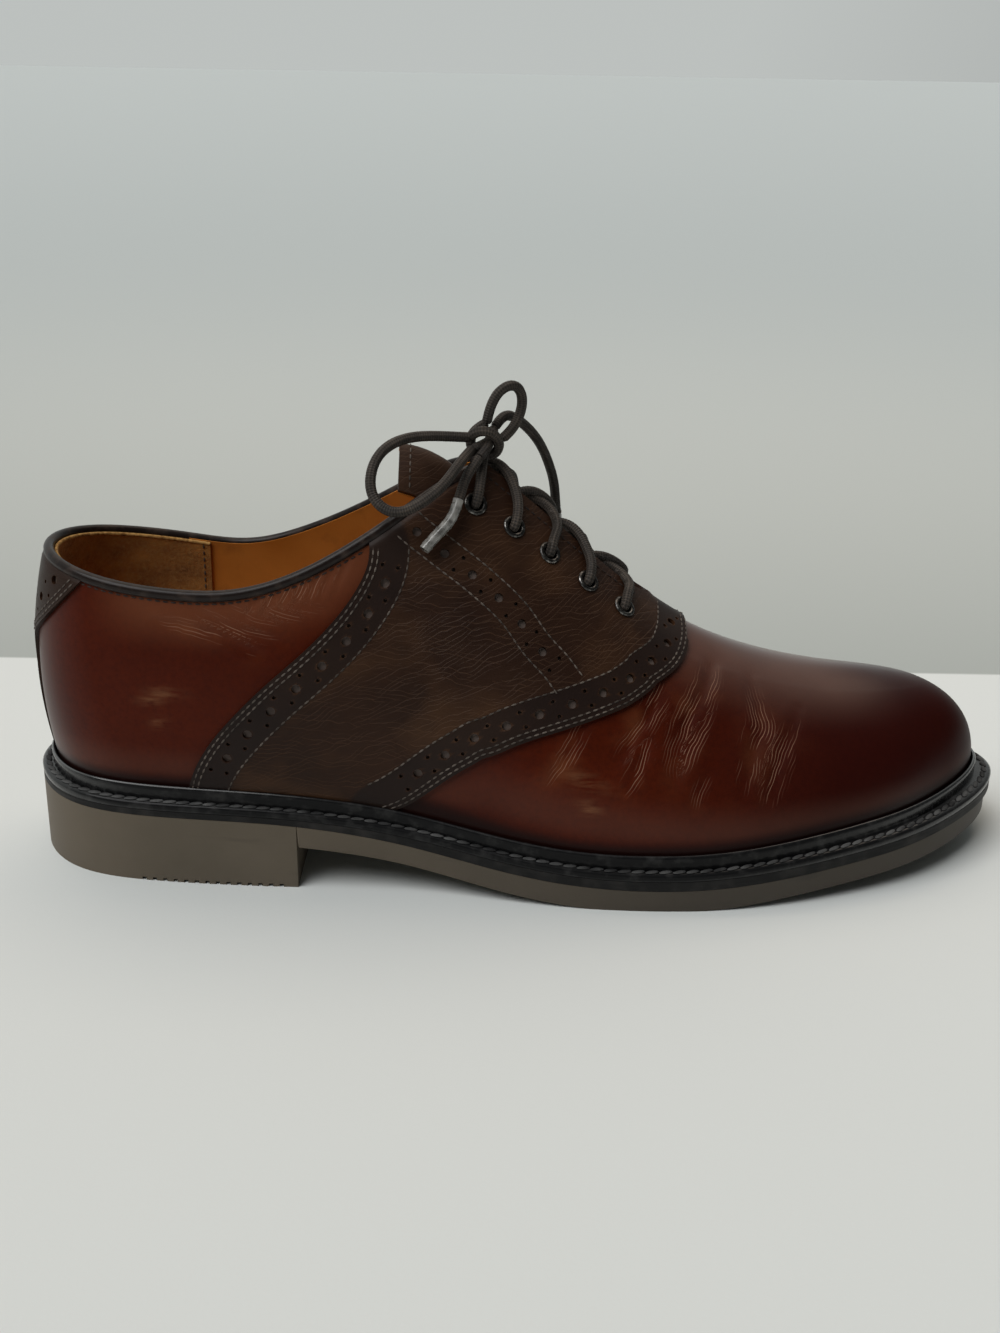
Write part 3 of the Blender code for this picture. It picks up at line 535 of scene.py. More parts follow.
def make_tip_finish():
    finish, tree, shader, place = start_finish("lace_tip_film", Coat_Weight=0.6, Coat_Roughness=0.12)
    wrinkle = noise(tree, place, 420.0, 3.0)
    colour = mix(tree, limits(tree, wrinkle, 0.35, 0.7), rgb(0.1, 0.096, 0.088), rgb(0.33, 0.32, 0.3))
    normal = bump(tree, wrinkle, 0.35, 0.0004)
    end_finish(tree, shader, colour, limits(tree, wrinkle, 0.3, 0.7, 0.2, 0.42), normal)
    return finish


BRAID = make_braid_finish()
TIP_FILM = make_tip_finish()

# %% Tubes along a route
TUBE_SIDES = 12
TUBE_SPACING = 0.8


def lengths_along(points):
    """Length from the first point to each one."""
    return np.append(0.0, np.cumsum(np.linalg.norm(np.diff(points, axis=0), axis=1)))


def at_lengths(at, length, values):
    """Rows of values between points, at given lengths along them."""
    return np.stack([np.interp(at, length, values[:, axis]) for axis in range(3)], -1)


def smooth_route(points, spacing):
    points = np.asarray(points, float)
    knots = lengths_along(points)
    along = np.linspace(0.0, knots[-1], max(4, int(round(knots[-1] / spacing)) + 1))
    return np.stack([natural_spline(knots, points[:, axis])(along) for axis in range(3)], -1)


def tube(points, radii):
    """Closed tube along points, with a radius at each, rounded shut at both ends."""
    tangent = unit(np.gradient(points, axis=0))
    side = np.zeros_like(points)
    side[0] = unit(np.cross(tangent[0], np.array([0.3, 0.5, 0.8])))
    for k in range(1, len(points)):
        side[k] = unit(side[k - 1] - tangent[k] * (side[k - 1] @ tangent[k]))
    other = np.cross(tangent, side)
    points = np.concatenate([points[:1], points, points[-1:]])
    side = np.concatenate([side[:1], side, side[-1:]])
    other = np.concatenate([other[:1], other, other[-1:]])
    radii = np.concatenate([[0.0], radii, [0.0]])
    angle = np.linspace(0.0, -math.tau, TUBE_SIDES + 1)
    ring = np.cos(angle)[None, :, None] * side[:, None] + np.sin(angle)[None, :, None] * other[:, None]
    along = lengths_along(points)
    columns = {"along": along[:, None], "around": np.linspace(0.0, 1.0, TUBE_SIDES + 1)[None, :]}
    work = bent_grid(points[:, None] + radii[:, None, None] * ring, columns)
    close_up(work)
    return work


def lace_tube(route):
    points = smooth_route(route, TUBE_SPACING)
    radii = np.full(len(points), LACE_RADIUS)
    radii[[0, -1]] *= 0.75
    return tube(points, radii), points


# %% [markdown]
# The routes repeat the frame's own solids, in millimetres from the heel's back edge.
# Each cord says how long it is, where it leaves the knot and what is on its end.
# The near end is short, so its route runs on inside its tip, as the real braid does.

# %% Loops and ends of the bow
LOW_LOOP = (
    (136.9, -5.0, 133.6),
    (128.4, -8.5, 134.6),
    (118.6, -14.0, 135.0),
    (111.6, -20.0, 132.2),
    (108.8, -25.0, 126.5),
    (110.0, -28.0, 120.4),
    (115.4, -29.5, 117.0),
    (122.8, -28.0, 119.0),
    (129.6, -22.5, 123.6),
    (134.2, -14.5, 128.2),
    (137.6, -7.0, 130.6),
)
HIGH_LOOP = (
    (141.6, -2.2, 137.4),
    (143.0, -2.0, 142.8),
    (146.2, -1.0, 147.4),
    (149.6, 1.0, 148.1),
    (151.8, 3.0, 145.3),
    (151.6, 3.4, 139.4),
    (149.4, 1.6, 135.2),
    (146.4, -0.8, 132.4),
)
FAR_END = (
    (144.0, -0.1, 135.7),
    (147.0, 4.2, 138.2),
    (151.6, 10.0, 135.6),
    (157.2, 16.4, 128.6),
    (161.0, 22.6, 120.0),
    (163.4, 28.0, 110.6),
    (164.4, 31.8, 101.8),
)
FAR_TIP = (
    (164.5, 32.2, 101.2),
    (165.0, 35.6, 92.4),
    (165.2, 38.4, 83.6),
)
NEAR_END = (
    (139.8, -9.7, 128.8),
    (137.9, -11.6, 126.4),
    (135.7, -14.2, 122.9),
    (134.0, -18.0, 118.4),
)
NEAR_TIP = (
    (133.8, -18.4, 117.9),
    (131.6, -22.0, 112.8),
    (127.6, -25.0, 108.8),
    (124.2, -27.4, 105.2),
)
TIP_RADIUS = 1.72


def add_tip(name, route):
    points = smooth_route(route, TUBE_SPACING)
    radii = TIP_RADIUS - 0.1 * np.abs(np.sin(np.arange(len(points)) * 0.9))
    return add_piece(name, tube(points, radii), TIP_FILM, [name])


def add_cord(name, route):
    work, points = lace_tube(route)
    piece = add_piece(name, work, BRAID, [name])
    return piece


tip_near = add_tip("lace_tip_near", NEAR_TIP)
tip_far = add_tip("lace_tip_far", FAR_TIP)
add_cord("lace_loop_low", LOW_LOOP)
add_cord("lace_loop_high", HIGH_LOOP)
add_cord("lace_end_near", NEAR_END + NEAR_TIP)
add_cord("lace_end_far", FAR_END + FAR_TIP)

# %% [markdown]
# The knot is the same braid wound on itself: two strands pass through it and one turn wraps them.
# Two more strands rise to it from the top eyelets.
# Below it the lace runs in two zigzags:
# out of one eyelet, over the facing's edge and under the other facing.

# %% Knot and zigzag
EYELET_STATIONS = (0.4722, 0.5062, 0.5362, 0.5685, 0.6000)
EYELET_RISE = 0.876
KNOT_FOOT = np.array([141.2, -3.4, 129.6])
KNOT_WRAP = (
    LOW_LOOP[0],
    (138.4, -6.3, 135.3),
    (141.4, -6.7, 135.9),
    (144.3, -5.5, 134.2),
    (145.4, -3.9, 131.0),
    (143.9, -2.4, 128.2),
    (140.4, -2.0, 127.7),
    (137.5, -1.8, 129.5),
    (137.0, -1.6, 132.8),
    (139.0, -1.7, 135.6),
    HIGH_LOOP[0],
)
KNOT_CORES = (
    (LOW_LOOP[-1], (140.2, -5.0, 131.2), (142.9, -2.0, 132.0), HIGH_LOOP[-1]),
    (NEAR_END[0], (142.0, -5.8, 131.0), (142.8, -2.4, 133.2), FAR_END[0]),
)
CROSSING_SHIFT = 0.0052


def eyelet_u(number, inner):
    station = EYELET_STATIONS[number - 1]
    return 2.0 - station if inner else station


def out_of_eyelet(number, inner):
    """Places of the lace from under the facing up through an eyelet."""
    u = eyelet_u(number, inner)
    return [on_upper(u, EYELET_RISE, lift) for lift in (-3.8, -1.0, 1.6)]


def riser_route(inner):
    u = eyelet_u(1, inner)
    over = on_upper(u, 0.95, 3.4)
    return out_of_eyelet(1, inner) + [on_upper(u, 0.9, 3.3), over * 0.6 + KNOT_FOOT * 0.4, KNOT_FOOT]


def zigzag_route(start_inner, shift):
    """Lace from the lowest eyelet to the top one, changing sides at each crossing."""
    inner = start_inner
    ridge = rib(EYELET_STATIONS[-1], 1.0)
    route = [ridge + np.array([0.0, 0.0, -5.4])]
    for number in range(len(EYELET_STATIONS), 1, -1):
        u = eyelet_u(number, inner)
        after = eyelet_u(number - 1, not inner)
        middle = (EYELET_STATIONS[number - 1] + EYELET_STATIONS[number - 2]) / 2 + shift
        crest = (rib(middle, 1.0) + rib(2.0 - middle, 1.0)) / 2
        route += out_of_eyelet(number, inner)
        route += [on_upper(u, 0.905, 3.1), on_upper(u + shift / 2, 0.965, 2.95)]
        route += [crest + np.array([0.0, 0.0, -0.5])]
        route += [on_upper(after, 0.985, -3.7), on_upper(after, 0.92, -3.9)]
        inner = not inner
    return route + [on_upper(eyelet_u(1, inner), EYELET_RISE, -3.8)]


knot = lace_tube(KNOT_WRAP)[0]
for core in KNOT_CORES:
    join(knot, lace_tube(core)[0])
for inner_side in (False, True):
    join(knot, lace_tube(riser_route(inner_side))[0])
add_piece("lace_knot", knot, BRAID, ["lace_knot"])

zigzag = lace_tube(zigzag_route(False, CROSSING_SHIFT))[0]
join(zigzag, lace_tube(zigzag_route(True, -CROSSING_SHIFT))[0])
add_piece("lace_zigzag", zigzag, BRAID, [f"lace_crossing_{n}" for n in range(1, 5)])

# %% [markdown]
# ## Leather of the vamp and quarters
# The red-brown leather is smooth, waxed and burnished darker towards the toe and the welt.
# Walking has cracked the wax in fine pale lines along the folds. The folds themselves are in the mesh.
# Columns on the points say where the burnish, the folds and the scuffs are, and noise breaks them up.
# The wax shines most where it is seen at a low angle, so its coat grows there.
# Some columns paint light into the colour: a sheen on the tops, a reflection of the floor low on the sides,
# shade just above the welt's lip and a pale floor in the punched holes.

# %% Mahogany leather finish
def hairlines(tree, across, along, spacing, thick, sway_mm):
    """Fine lines side by side that sway a little and break off here and there. All sizes in millimetres."""
    flow = add_node(tree, "ShaderNodeCombineXYZ", {0: across, 1: along}).outputs[0]
    sway = limits(tree, noise(tree, flow, 0.11, 1.5, stretch=(0.8, 1.0, 1.0)), 0.2, 0.8, -sway_mm, sway_mm)
    wave = maths(tree, "PINGPONG", maths(tree, "ADD", across, sway), spacing)
    line = limits(tree, wave, 0.3 * thick, thick, 1.0, 0.0)
    kept = limits(tree, noise(tree, flow, 0.3, 1.0, stretch=(1.3, 0.2, 1.0)), 0.44, 0.57)
    return maths(tree, "MULTIPLY", line, kept)


def make_mahogany_finish():
    finish, tree, shader, place = start_finish(
        "mahogany_leather", IOR=1.16, Coat_Roughness=0.28, Coat_IOR=1.5
    )
    cloud = noise(tree, place, 22.0, 4.0)
    deep, light = rgb(0.047, 0.0052, 0.0009), rgb(0.082, 0.0105, 0.002)
    colour = mix(tree, limits(tree, cloud, 0.3, 0.72), deep, light)
    mottle = limits(tree, noise(tree, place, 620.0, 4.0, roughness=0.65), 0.4, 0.75, 0.0, 0.4)
    colour = mix(tree, mottle, colour, rgb(0.02, 0.0028, 0.0015))
    pull_up = limits(tree, noise(tree, place, 75.0, 5.0), 0.48, 0.8, 0.0, 0.8)
    flex = column_of(tree, "flex")
    colour = mix(tree, maths(tree, "MULTIPLY", pull_up, flex), colour, rgb(0.155, 0.047, 0.017))
    colour = mix(tree, column_of(tree, "burnish"), colour, rgb(0.0175, 0.0022, 0.002))
    strands = hairlines(tree, column_of(tree, "beside_mm"), column_of(tree, "fold_mm"), 0.5, 0.17, 0.8)
    crack = maths(tree, "MULTIPLY", strands, limits(tree, flex, 0.45, 0.9))
    # Painted sheen: the top of the vamp is painted a lighter pinkish brown, and a band low on the sides is
    # painted lighter as a reflection of the floor.
    painted_sheen_and_reflection = maths(tree, "MULTIPLY", column_of(tree, "painted_sheen_and_reflection"), limits(tree, cloud, 0.3, 0.7, 0.55, 1.0))
    colour = mix(tree, painted_sheen_and_reflection, colour, rgb(0.17, 0.088, 0.062))
    # Painted light: the top of the quarters is painted a lighter, warmer brown where the light from above
    # falls.
    colour = mix(tree, column_of(tree, "warm"), colour, rgb(0.175, 0.058, 0.026))
    colour = mix(tree, maths(tree, "MULTIPLY", crack, 0.6), colour, rgb(0.34, 0.18, 0.115))
    streaks = limits(tree, noise(tree, place, 380.0, 4.0, stretch=(0.3, 1.0, 1.5)), 0.36, 0.66)
    rub = maths(tree, "MULTIPLY", column_of(tree, "scuff"), streaks)
    colour = mix(tree, maths(tree, "MULTIPLY", rub, 0.5), colour, rgb(0.28, 0.13, 0.06))
    # Painted shade together with a dark burnish: the leather just above the welt's lip is painted near
    # black.
    colour = mix(tree, column_of(tree, "crevice_shade_and_burnish"), colour, rgb(0.008, 0.003, 0.0026))
    # Under the saddle and the heel tab the leather shows only through the punched holes. It is painted pale
    # grey-brown: partly the layer beneath, partly painted light on the floors of the holes.
    colour = mix(tree, column_of(tree, "covered"), colour, rgb(0.14, 0.108, 0.094))
    pores = noise(tree, place, 1500.0, 3.0)
    wrinkles = noise(tree, place, 260.0, 4.0, stretch=(1.0, 1.0, 0.5), roughness=0.6)
    dulled = maths(tree, "ADD", cloud, maths(tree, "MULTIPLY", flex, 0.35))
    gloss = limits(tree, dulled, 0.3, 1.0, 0.33, 0.55)
    grain = bump(tree, pores, 0.1, 0.00025)
    soft = bump(tree, wrinkles, maths(tree, "MULTIPLY", flex, 0.22), 0.0009, grain)
    normal = bump(tree, crack, 0.4, -0.00025, soft)
    facing = rim_share(tree)
    wax = maths(tree, "MULTIPLY", limits(tree, facing, 0.2, 0.65, 0.06, 0.75), column_of(tree, "waxed"))
    shine = limits(tree, column_of(tree, "waxed"), 0.0, 1.0, 0.1, 0.5)
    tree.links.new(shine, shader.inputs["Specular IOR Level"])
    tree.links.new(wax, shader.inputs["Coat Weight"])
    end_finish(tree, shader, colour, maths(tree, "ADD", gloss, maths(tree, "MULTIPLY", rub, 0.15)), normal)
    return finish


MAHOGANY = make_mahogany_finish()

# %% [markdown]
# The main folds are listed one by one. Each is a line on the upper with a width and a depth in millimetres:
# a soft trough with a low ridge on both sides. They could be sculpted, but a list can be read and changed.
# The mirrored copy on the inner side is a little shallower.

# %% Folds of the upper
# Each fold has a width and a depth in millimetres, and a line of places as u and rise
FOLDS = (
    # behind the joint
    (1.7, 0.3, ((0.572, 0.500), (0.562, 0.441), (0.552, 0.370), (0.538, 0.295), (0.529, 0.249))),
    # second
    (2.2, 0.5, ((0.634, 0.650), (0.627, 0.598), (0.617, 0.538), (0.604, 0.464), (0.584, 0.343))),
    # second, lower
    (1.8, 0.35, ((0.618, 0.490), (0.611, 0.412), (0.604, 0.354), (0.590, 0.261))),
    # main fold
    (2.8, 0.75, ((0.684, 0.853), (0.673, 0.704), (0.656, 0.579), (0.642, 0.460), (0.634, 0.324))),
    # beside the main
    (1.8, 0.34, ((0.678, 0.653), (0.661, 0.524), (0.651, 0.453), (0.640, 0.350))),
    # under the main
    (1.6, 0.24, ((0.667, 0.391), (0.657, 0.320), (0.653, 0.254))),
    # over the toes
    (2.6, 0.55, ((0.716, 0.800), (0.717, 0.624), (0.714, 0.542), (0.702, 0.440), (0.693, 0.272))),
    # last fold
    (2.2, 0.42, ((0.757, 0.669), (0.739, 0.532), (0.727, 0.431), (0.718, 0.332), (0.712, 0.267))),
    # long crease
    (1.3, 0.36, ((0.198, 0.870), (0.223, 0.858), (0.252, 0.817), (0.270, 0.754), (0.285, 0.707))),
    # second crease
    (1.2, 0.3, ((0.232, 0.941), (0.249, 0.884), (0.277, 0.807), (0.303, 0.746))),
    # third crease
    (1.2, 0.28, ((0.250, 0.976), (0.270, 0.911), (0.283, 0.870), (0.308, 0.810))),
    # fourth crease
    (1.2, 0.28, ((0.281, 0.981), (0.289, 0.918), (0.304, 0.859), (0.323, 0.813))),
    # short crease
    (1.1, 0.24, ((0.243, 0.933), (0.254, 0.857), (0.271, 0.784))),
    # by the saddle
    (1.2, 0.26, ((0.293, 0.946), (0.316, 0.870), (0.340, 0.816))),
)
PLEAT_STATIONS = (0.283, 0.297, 0.309, 0.320, 0.331, 0.343, 0.355)
PLEAT_LINE = ((0.002, 0.985), (-0.004, 0.935), (-0.011, 0.88))
PLEATS = tuple((1.1, 0.3, tuple((u + du, rise) for du, rise in PLEAT_LINE)) for u in PLEAT_STATIONS)
FOLD_SAMPLES = 48
FOLD_REACH = 5.0
FOLD_FULL_DEPTH = 0.32
INNER_FOLD_SHARE = 0.7
SHOULDER_SPREAD = 7.0
FOLD_APART = 60.0


def fold_columns(points):
    """Height of the folds in millimetres, how near one is, and the place beside and along its line."""
    relief, near, beside, along = (np.zeros(points.shape[:-1]) for _ in range(4))
    share = np.linspace(0.0, 1.0, FOLD_SAMPLES)
    fade = np.sqrt(np.sin(np.clip(share, 0.03, 0.97) * math.pi))
    for number, (width, depth, line) in enumerate(FOLDS + PLEATS):
        knots = np.linspace(0.0, 1.0, len(line))
        u, rise = (natural_spline(knots, np.array(values))(share) for values in zip(*line))
        rise = np.minimum(rise, 1.0)
        for station, scale in ((u, 1.0), (2.0 - u, INNER_FOLD_SHARE)):
            spots = on_upper(station, rise)
            out = rib_normal(station, rib_share(station, rise))
            aside = np.cross(out, unit(np.gradient(spots, axis=0)))
            reach = FOLD_REACH * width
            close = ((points > spots.min(0) - reach) & (points < spots.max(0) + reach)).all(-1)
            gap = points[close][:, None] - spots
            square = (gap**2).sum(-1)
            trough = (fade * np.exp(-square / width**2)).max(1, initial=0.0)
            shoulder = (fade * np.exp(-square / (SHOULDER_SPREAD * width**2))).max(1, initial=0.0)
            relief[close] += scale * depth * (0.5 * (shoulder - trough) - trough)
            if not close.any():
                continue
            nearest = square.argmin(1)
            weight = scale * min(1.0, depth / FOLD_FULL_DEPTH) * shoulder
            better = weight > near[close]
            offset = (gap[np.arange(len(nearest)), nearest] * aside[nearest]).sum(-1)
            run = lengths_along(spots)[nearest] + FOLD_APART * number
            for store, value in ((near, weight), (beside, offset), (along, run)):
                store[close] = np.where(better, value, store[close])
    return relief, {"flex": near, "beside_mm": beside, "fold_mm": along}


# %% [markdown]
# The upper under the saddle is three pieces: one vamp round the toe and two quarters that meet at the heel.
# Their joins lie half way under the saddle, where the real ones are sewn.
# Ribs from both sides meet along the ridge in front of the lacing, and smoothing passes round that ridge.

# %% Vamp and quarters
SADDLE_COLUMNS = ("rise", "rear", "front")
SADDLE = (
    (0.00, 0.2210, 0.3560),
    (0.10, 0.2247, 0.3950),
    (0.20, 0.2313, 0.4315),
    (0.25, 0.2360, 0.4575),
    (0.28, 0.2392, 0.4790),
    (0.32, 0.2439, 0.4990),
    (0.40, 0.2549, 0.5380),
    (0.50, 0.2712, 0.5815),
    (0.60, 0.2915, 0.6155),
    (0.70, 0.3192, 0.6420),
    (0.80, 0.3499, 0.6565),
    (0.90, 0.3715, 0.6630),
    (1.00, 0.3735, 0.6650),
)
SADDLE_RISE = column(SADDLE, SADDLE_COLUMNS, "rise")
REAR_BORDER = natural_spline(SADDLE_RISE, column(SADDLE, SADDLE_COLUMNS, "rear"))
FRONT_BORDER = natural_spline(SADDLE_RISE, column(SADDLE, SADDLE_COLUMNS, "front"))
HEEL_TAB_COLUMNS = ("rise", "half")
HEEL_TAB = (
    (0.00, 0.013),
    (0.50, 0.013),
    (0.62, 0.026),
    (0.72, 0.064),
    (0.85, 0.098),
    (1.00, 0.130),
)
TAB_RISE = column(HEEL_TAB, HEEL_TAB_COLUMNS, "rise")
TAB_HALF = column(HEEL_TAB, HEEL_TAB_COLUMNS, "half")
TAB_ROUNDING = 0.05
LEATHER_WALL = 1.1
LIP_HEIGHT = 7.4
SKIN_ROWS = 80
SKIN_RIDGE_RISE = 0.8
SKIN_RIDGE_PASSES = 44
VAMP_STEPS = 440
QUARTER_STEPS = 170
MM_ROUND = 375.0
MM_UP = 100.0
# Each scuff has its place as u and rise, and its size along and up in millimetres
SCUFFS = (
    (0.207, 0.535, 5.0, 2.4),
    (0.196, 0.490, 4.0, 2.0),
    (0.203, 0.391, 2.6, 2.6),
    (0.563, 0.295, 6.0, 2.2),
    (0.566, 0.223, 3.4, 2.0),
)


def fade_in(value, low, high):
    t = np.clip((value - low) / (high - low), 0.0, 1.0)
    return t * t * (3 - 2 * t)


def smooth_tab_half(rise):
    """Half width of the heel tab, with its corners rounded by an average over nearby rises."""
    nearby = [np.clip(rise + shift, 0.0, 1.0) for shift in np.linspace(-TAB_ROUNDING, TAB_ROUNDING, 11)]
    return np.mean([np.interp(each, TAB_RISE, TAB_HALF) for each in nearby], axis=0)


def seam_under_saddle(rise):
    return (REAR_BORDER(rise) + FRONT_BORDER(rise)) / 2


def inner_seam(rise):
    return 2.0 - seam_under_saddle(rise)


def leather_columns(u, rise, points):
    """Numbers for the mahogany finish at each place."""
    place = toe_share(u)
    toe = fade_in(points[..., 0], 168.0, 264.0)
    low = fade_in(-rise, -0.26, -0.03)
    heel = fade_in(-points[..., 0], -34.0, -2.0)
    top = fade_in(rise, 0.55, 0.9)
    brow = fade_in(rise, 0.7, 0.95)
    vamp_front = fade_in(place, 0.6, 0.66) * fade_in(-place, -0.93, -0.78)
    quarter = fade_in(place, 0.12, 0.2) * fade_in(-place, -0.42, -0.38)
    # Band low on the sides where a reflection of the floor is painted.
    floor_reflection = fade_in(rise, 0.1, 0.17) * fade_in(-rise, -0.3, -0.18)
    # Above the welt's lip the leather is painted dark, as shade in the crevice together with a dark
    # burnish. It reaches higher at the waist, where the upper curves in.
    above_lip = points[..., 2] - BED_Z(points[..., 0]) - LIP_HEIGHT
    waist = np.exp(-(((points[..., 0] - 118.0) / 30.0) ** 2))
    scuff = np.zeros(u.shape)
    for at_u, at_rise, along_mm, up_mm in SCUFFS:
        along = (u - at_u) * MM_ROUND
        up = (rise - at_rise) * MM_UP
        scuff = np.maximum(scuff, np.exp(-((along / along_mm) ** 2) - (up / up_mm) ** 2))
    past_rear = fade_in(place - REAR_BORDER(rise), 0.004, 0.006)
    before_front = fade_in(FRONT_BORDER(rise) - place, 0.004, 0.006)
    under_tab = fade_in(smooth_tab_half(rise) - place, 0.002, 0.004)
    return {
        "burnish": np.clip(0.8 * toe + 0.25 * low + 0.3 * heel, 0.0, 0.85),
        # Painted shade and burnish above the welt's lip.
        "crevice_shade_and_burnish": 0.9 * fade_in(-above_lip, -5.0 - 4.0 * waist, -0.6 - 2.4 * waist),
        "waxed": 1.0 - 0.85 * fade_in(points[..., 0], 266.0, 292.0) - 0.6 * heel,
        # Painted sheen on the top of the vamp, and a painted floor reflection low on the sides.
        "painted_sheen_and_reflection": 0.54 * top * vamp_front + 0.18 * floor_reflection,
        # Painted light along the top of the quarters.
        "warm": 0.6 * brow * quarter,
        "scuff": scuff,
        # Covered leather, painted pale as light on the floors of the holes.
        "covered": np.maximum(past_rear * before_front, under_tab),
        "rise": rise,
        "place": place,
    }


def round_ridge(work, start_rise, start_place, passes):
    """Smooths the meeting of both sides along the ridge in front of the lacing."""
    rise, place = (work.verts.layers.float[name] for name in ("rise", "place"))
    near = [v for v in work.verts if v[rise] > start_rise and v[place] > start_place]
    for _ in range(passes):
        bmesh.ops.smooth_vert(
            work, verts=near, factor=0.5, use_axis_x=True, use_axis_y=True, use_axis_z=True
        )


def skin_sheet(u, rise):
    points = on_upper(u, rise)
    relief, columns = fold_columns(points)
    columns.update(leather_columns(u, rise, points))
    sheet = points + relief[..., None] * rib_normal(u, rib_share(u, rise))
    ridge = toe_share(u[:, -1]) >= THROAT_END
    sheet[ridge, -1] = (sheet[:, -1] + sheet[::-1, -1])[ridge] / 2
    return bent_grid(sheet, columns)


def add_skin(name, steps, from_u, to_u, nodes=()):
    """Sheet of leather between two curves round the foot, with its wall on the inside."""
    rise = np.linspace(0.0, 1.0, SKIN_ROWS + 1)[None, :]
    share = np.linspace(0.0, 1.0, steps + 1)[:, None]
    u = from_u(rise) * (1 - share) + to_u(rise) * share
    work = skin_sheet(u, np.broadcast_to(rise, u.shape))
    bmesh.ops.remove_doubles(work, verts=work.verts, dist=MERGE)
    round_ridge(work, SKIN_RIDGE_RISE, THROAT_END + 0.012, SKIN_RIDGE_PASSES)
    piece = add_piece(name, work, MAHOGANY, nodes)
    thicken(piece, LEATHER_WALL, outward=False)
    return piece


vamp = add_skin("vamp", VAMP_STEPS, seam_under_saddle, inner_seam, ["upper"])
quarter_outer = add_skin("quarter_outer", QUARTER_STEPS, lambda rise: 0.0 * rise, seam_under_saddle)
quarter_inner = add_skin("quarter_inner", QUARTER_STEPS, inner_seam, lambda rise: 2.0 + 0.0 * rise)

# %% [markdown]
# ## Saddle and heel tab
# The dark saddle lies over the instep and holds the eyelets. The heel tab is cut from the same leather.
# Its surface shows short wrinkles that run along the foot, with a warmer brown where it is rubbed.
# The punched bands along its borders are darker, because wax collects there.

# %% Dark leather finish
WRINKLE_SLOPES = (-0.1, 0.5)


def make_dark_leather_finish():
    finish, tree, shader, place = start_finish(
        "dark_brown_leather", IOR=1.2, Coat_Weight=0.18, Coat_Roughness=0.3, Coat_IOR=1.3
    )
    cloud = noise(tree, place, 34.0, 4.0)
    deep, light = rgb(0.0175, 0.008, 0.005), rgb(0.032, 0.0135, 0.0066)
    colour = mix(tree, limits(tree, cloud, 0.3, 0.74), deep, light)
    rubbed = limits(tree, noise(tree, place, 26.0, 3.0, stretch=(1.0, 1.0, 1.4)), 0.5, 0.66, 0.0, 0.75)
    colour = mix(tree, rubbed, colour, rgb(0.06, 0.0275, 0.0125))
    wrinkles = noise(tree, place, 310.0, 4.0, stretch=(0.3, 0.6, 1.6), roughness=0.6)
    axes = add_node(tree, "ShaderNodeSeparateXYZ", {0: place}).outputs
    along, upward = (maths(tree, "MULTIPLY", axes[axis], 1 / MM) for axis in (0, 2))
    leans = [maths(tree, "MULTIPLY", along, slope) for slope in WRINKLE_SLOPES]
    slanted = [maths(tree, "SUBTRACT", upward, lean) for lean in leans]
    families = [hairlines(tree, across, along, 0.7, 0.16, 1.6) for across in slanted]
    band = column_of(tree, "band")
    open_field = maths(tree, "SUBTRACT", 1.0, band)
    crack = maths(tree, "MULTIPLY", maths(tree, "MAXIMUM", *families), open_field)
    colour = mix(tree, maths(tree, "MULTIPLY", crack, 0.22), colour, rgb(0.12, 0.06, 0.03))
    colour = mix(tree, maths(tree, "MULTIPLY", band, 0.8), colour, rgb(0.0125, 0.0078, 0.0068))
    pores = noise(tree, place, 1700.0, 3.0)
    folded = bump(tree, wrinkles, maths(tree, "MULTIPLY", open_field, 0.3), 0.0009)
    cracked = bump(tree, crack, 0.35, -0.0003, folded)
    normal = bump(tree, pores, 0.13, 0.00025, cracked)
    end_finish(tree, shader, colour, limits(tree, cloud, 0.3, 0.75, 0.36, 0.54), normal)
    return finish


DARK_LEATHER = make_dark_leather_finish()

# %% [markdown]
# Rows of stitches and holes keep a fixed distance from a border, as a sewing guide does.
# So a border is a line of places on the upper, and a row is that line moved sideways over the leather.
# The move is made in small steps, each measured on the curved surface.

# %% Lines on the leather
LINE_SAMPLES = 160
SHIFT_STEPS = 6


def line_at(u, rise):
    """Line of places, kept as u and the share of the whole rib."""
    u, rise = np.broadcast_arrays(np.asarray(u, float), np.asarray(rise, float))
    return u, rib_share(u, rise)


def line_through(spots):
    u, share = line_at(*zip(*spots))
    knots = lengths_along(on_rib(u, share))
    at = np.linspace(0.0, knots[-1], LINE_SAMPLES)
    return natural_spline(knots, u)(at), natural_spline(knots, share)(at)


def border_line(border, low, high):
    rise = np.linspace(low, high, LINE_SAMPLES)
    return line_at(border(rise), rise)


def moved_line(line, distance):
    """The line moved to its left over the surface, seen from outside and looking along it."""
    u, share = line
    reach = 0.002
    for _ in range(SHIFT_STEPS):
        round_way = (on_rib(u + reach, share) - on_rib(u - reach, share)) / (2 * reach)
        up_way = (on_rib(u, share + reach) - on_rib(u, share - reach)) / (2 * reach)
        run = unit(np.gradient(on_rib(u, share), axis=0))
        aside = np.cross(unit(np.cross(round_way, up_way)), run) * distance / SHIFT_STEPS
        a, b, c = (round_way**2).sum(-1), (round_way * up_way).sum(-1), (up_way**2).sum(-1)
        p, q = (round_way * aside).sum(-1), (up_way * aside).sum(-1)
        size = a * c - b * b
        u = u + (c * p - b * q) / size
        share = share + (a * q - b * p) / size
    top = np.where(u > THROAT_END, 0.998, 0.975) if distance else 1.0
    kept = share <= rib_share(u, top) + 1e-6
    return u[kept], share[kept]


def mirrored(line):
    return 2.0 - line[0], line[1]


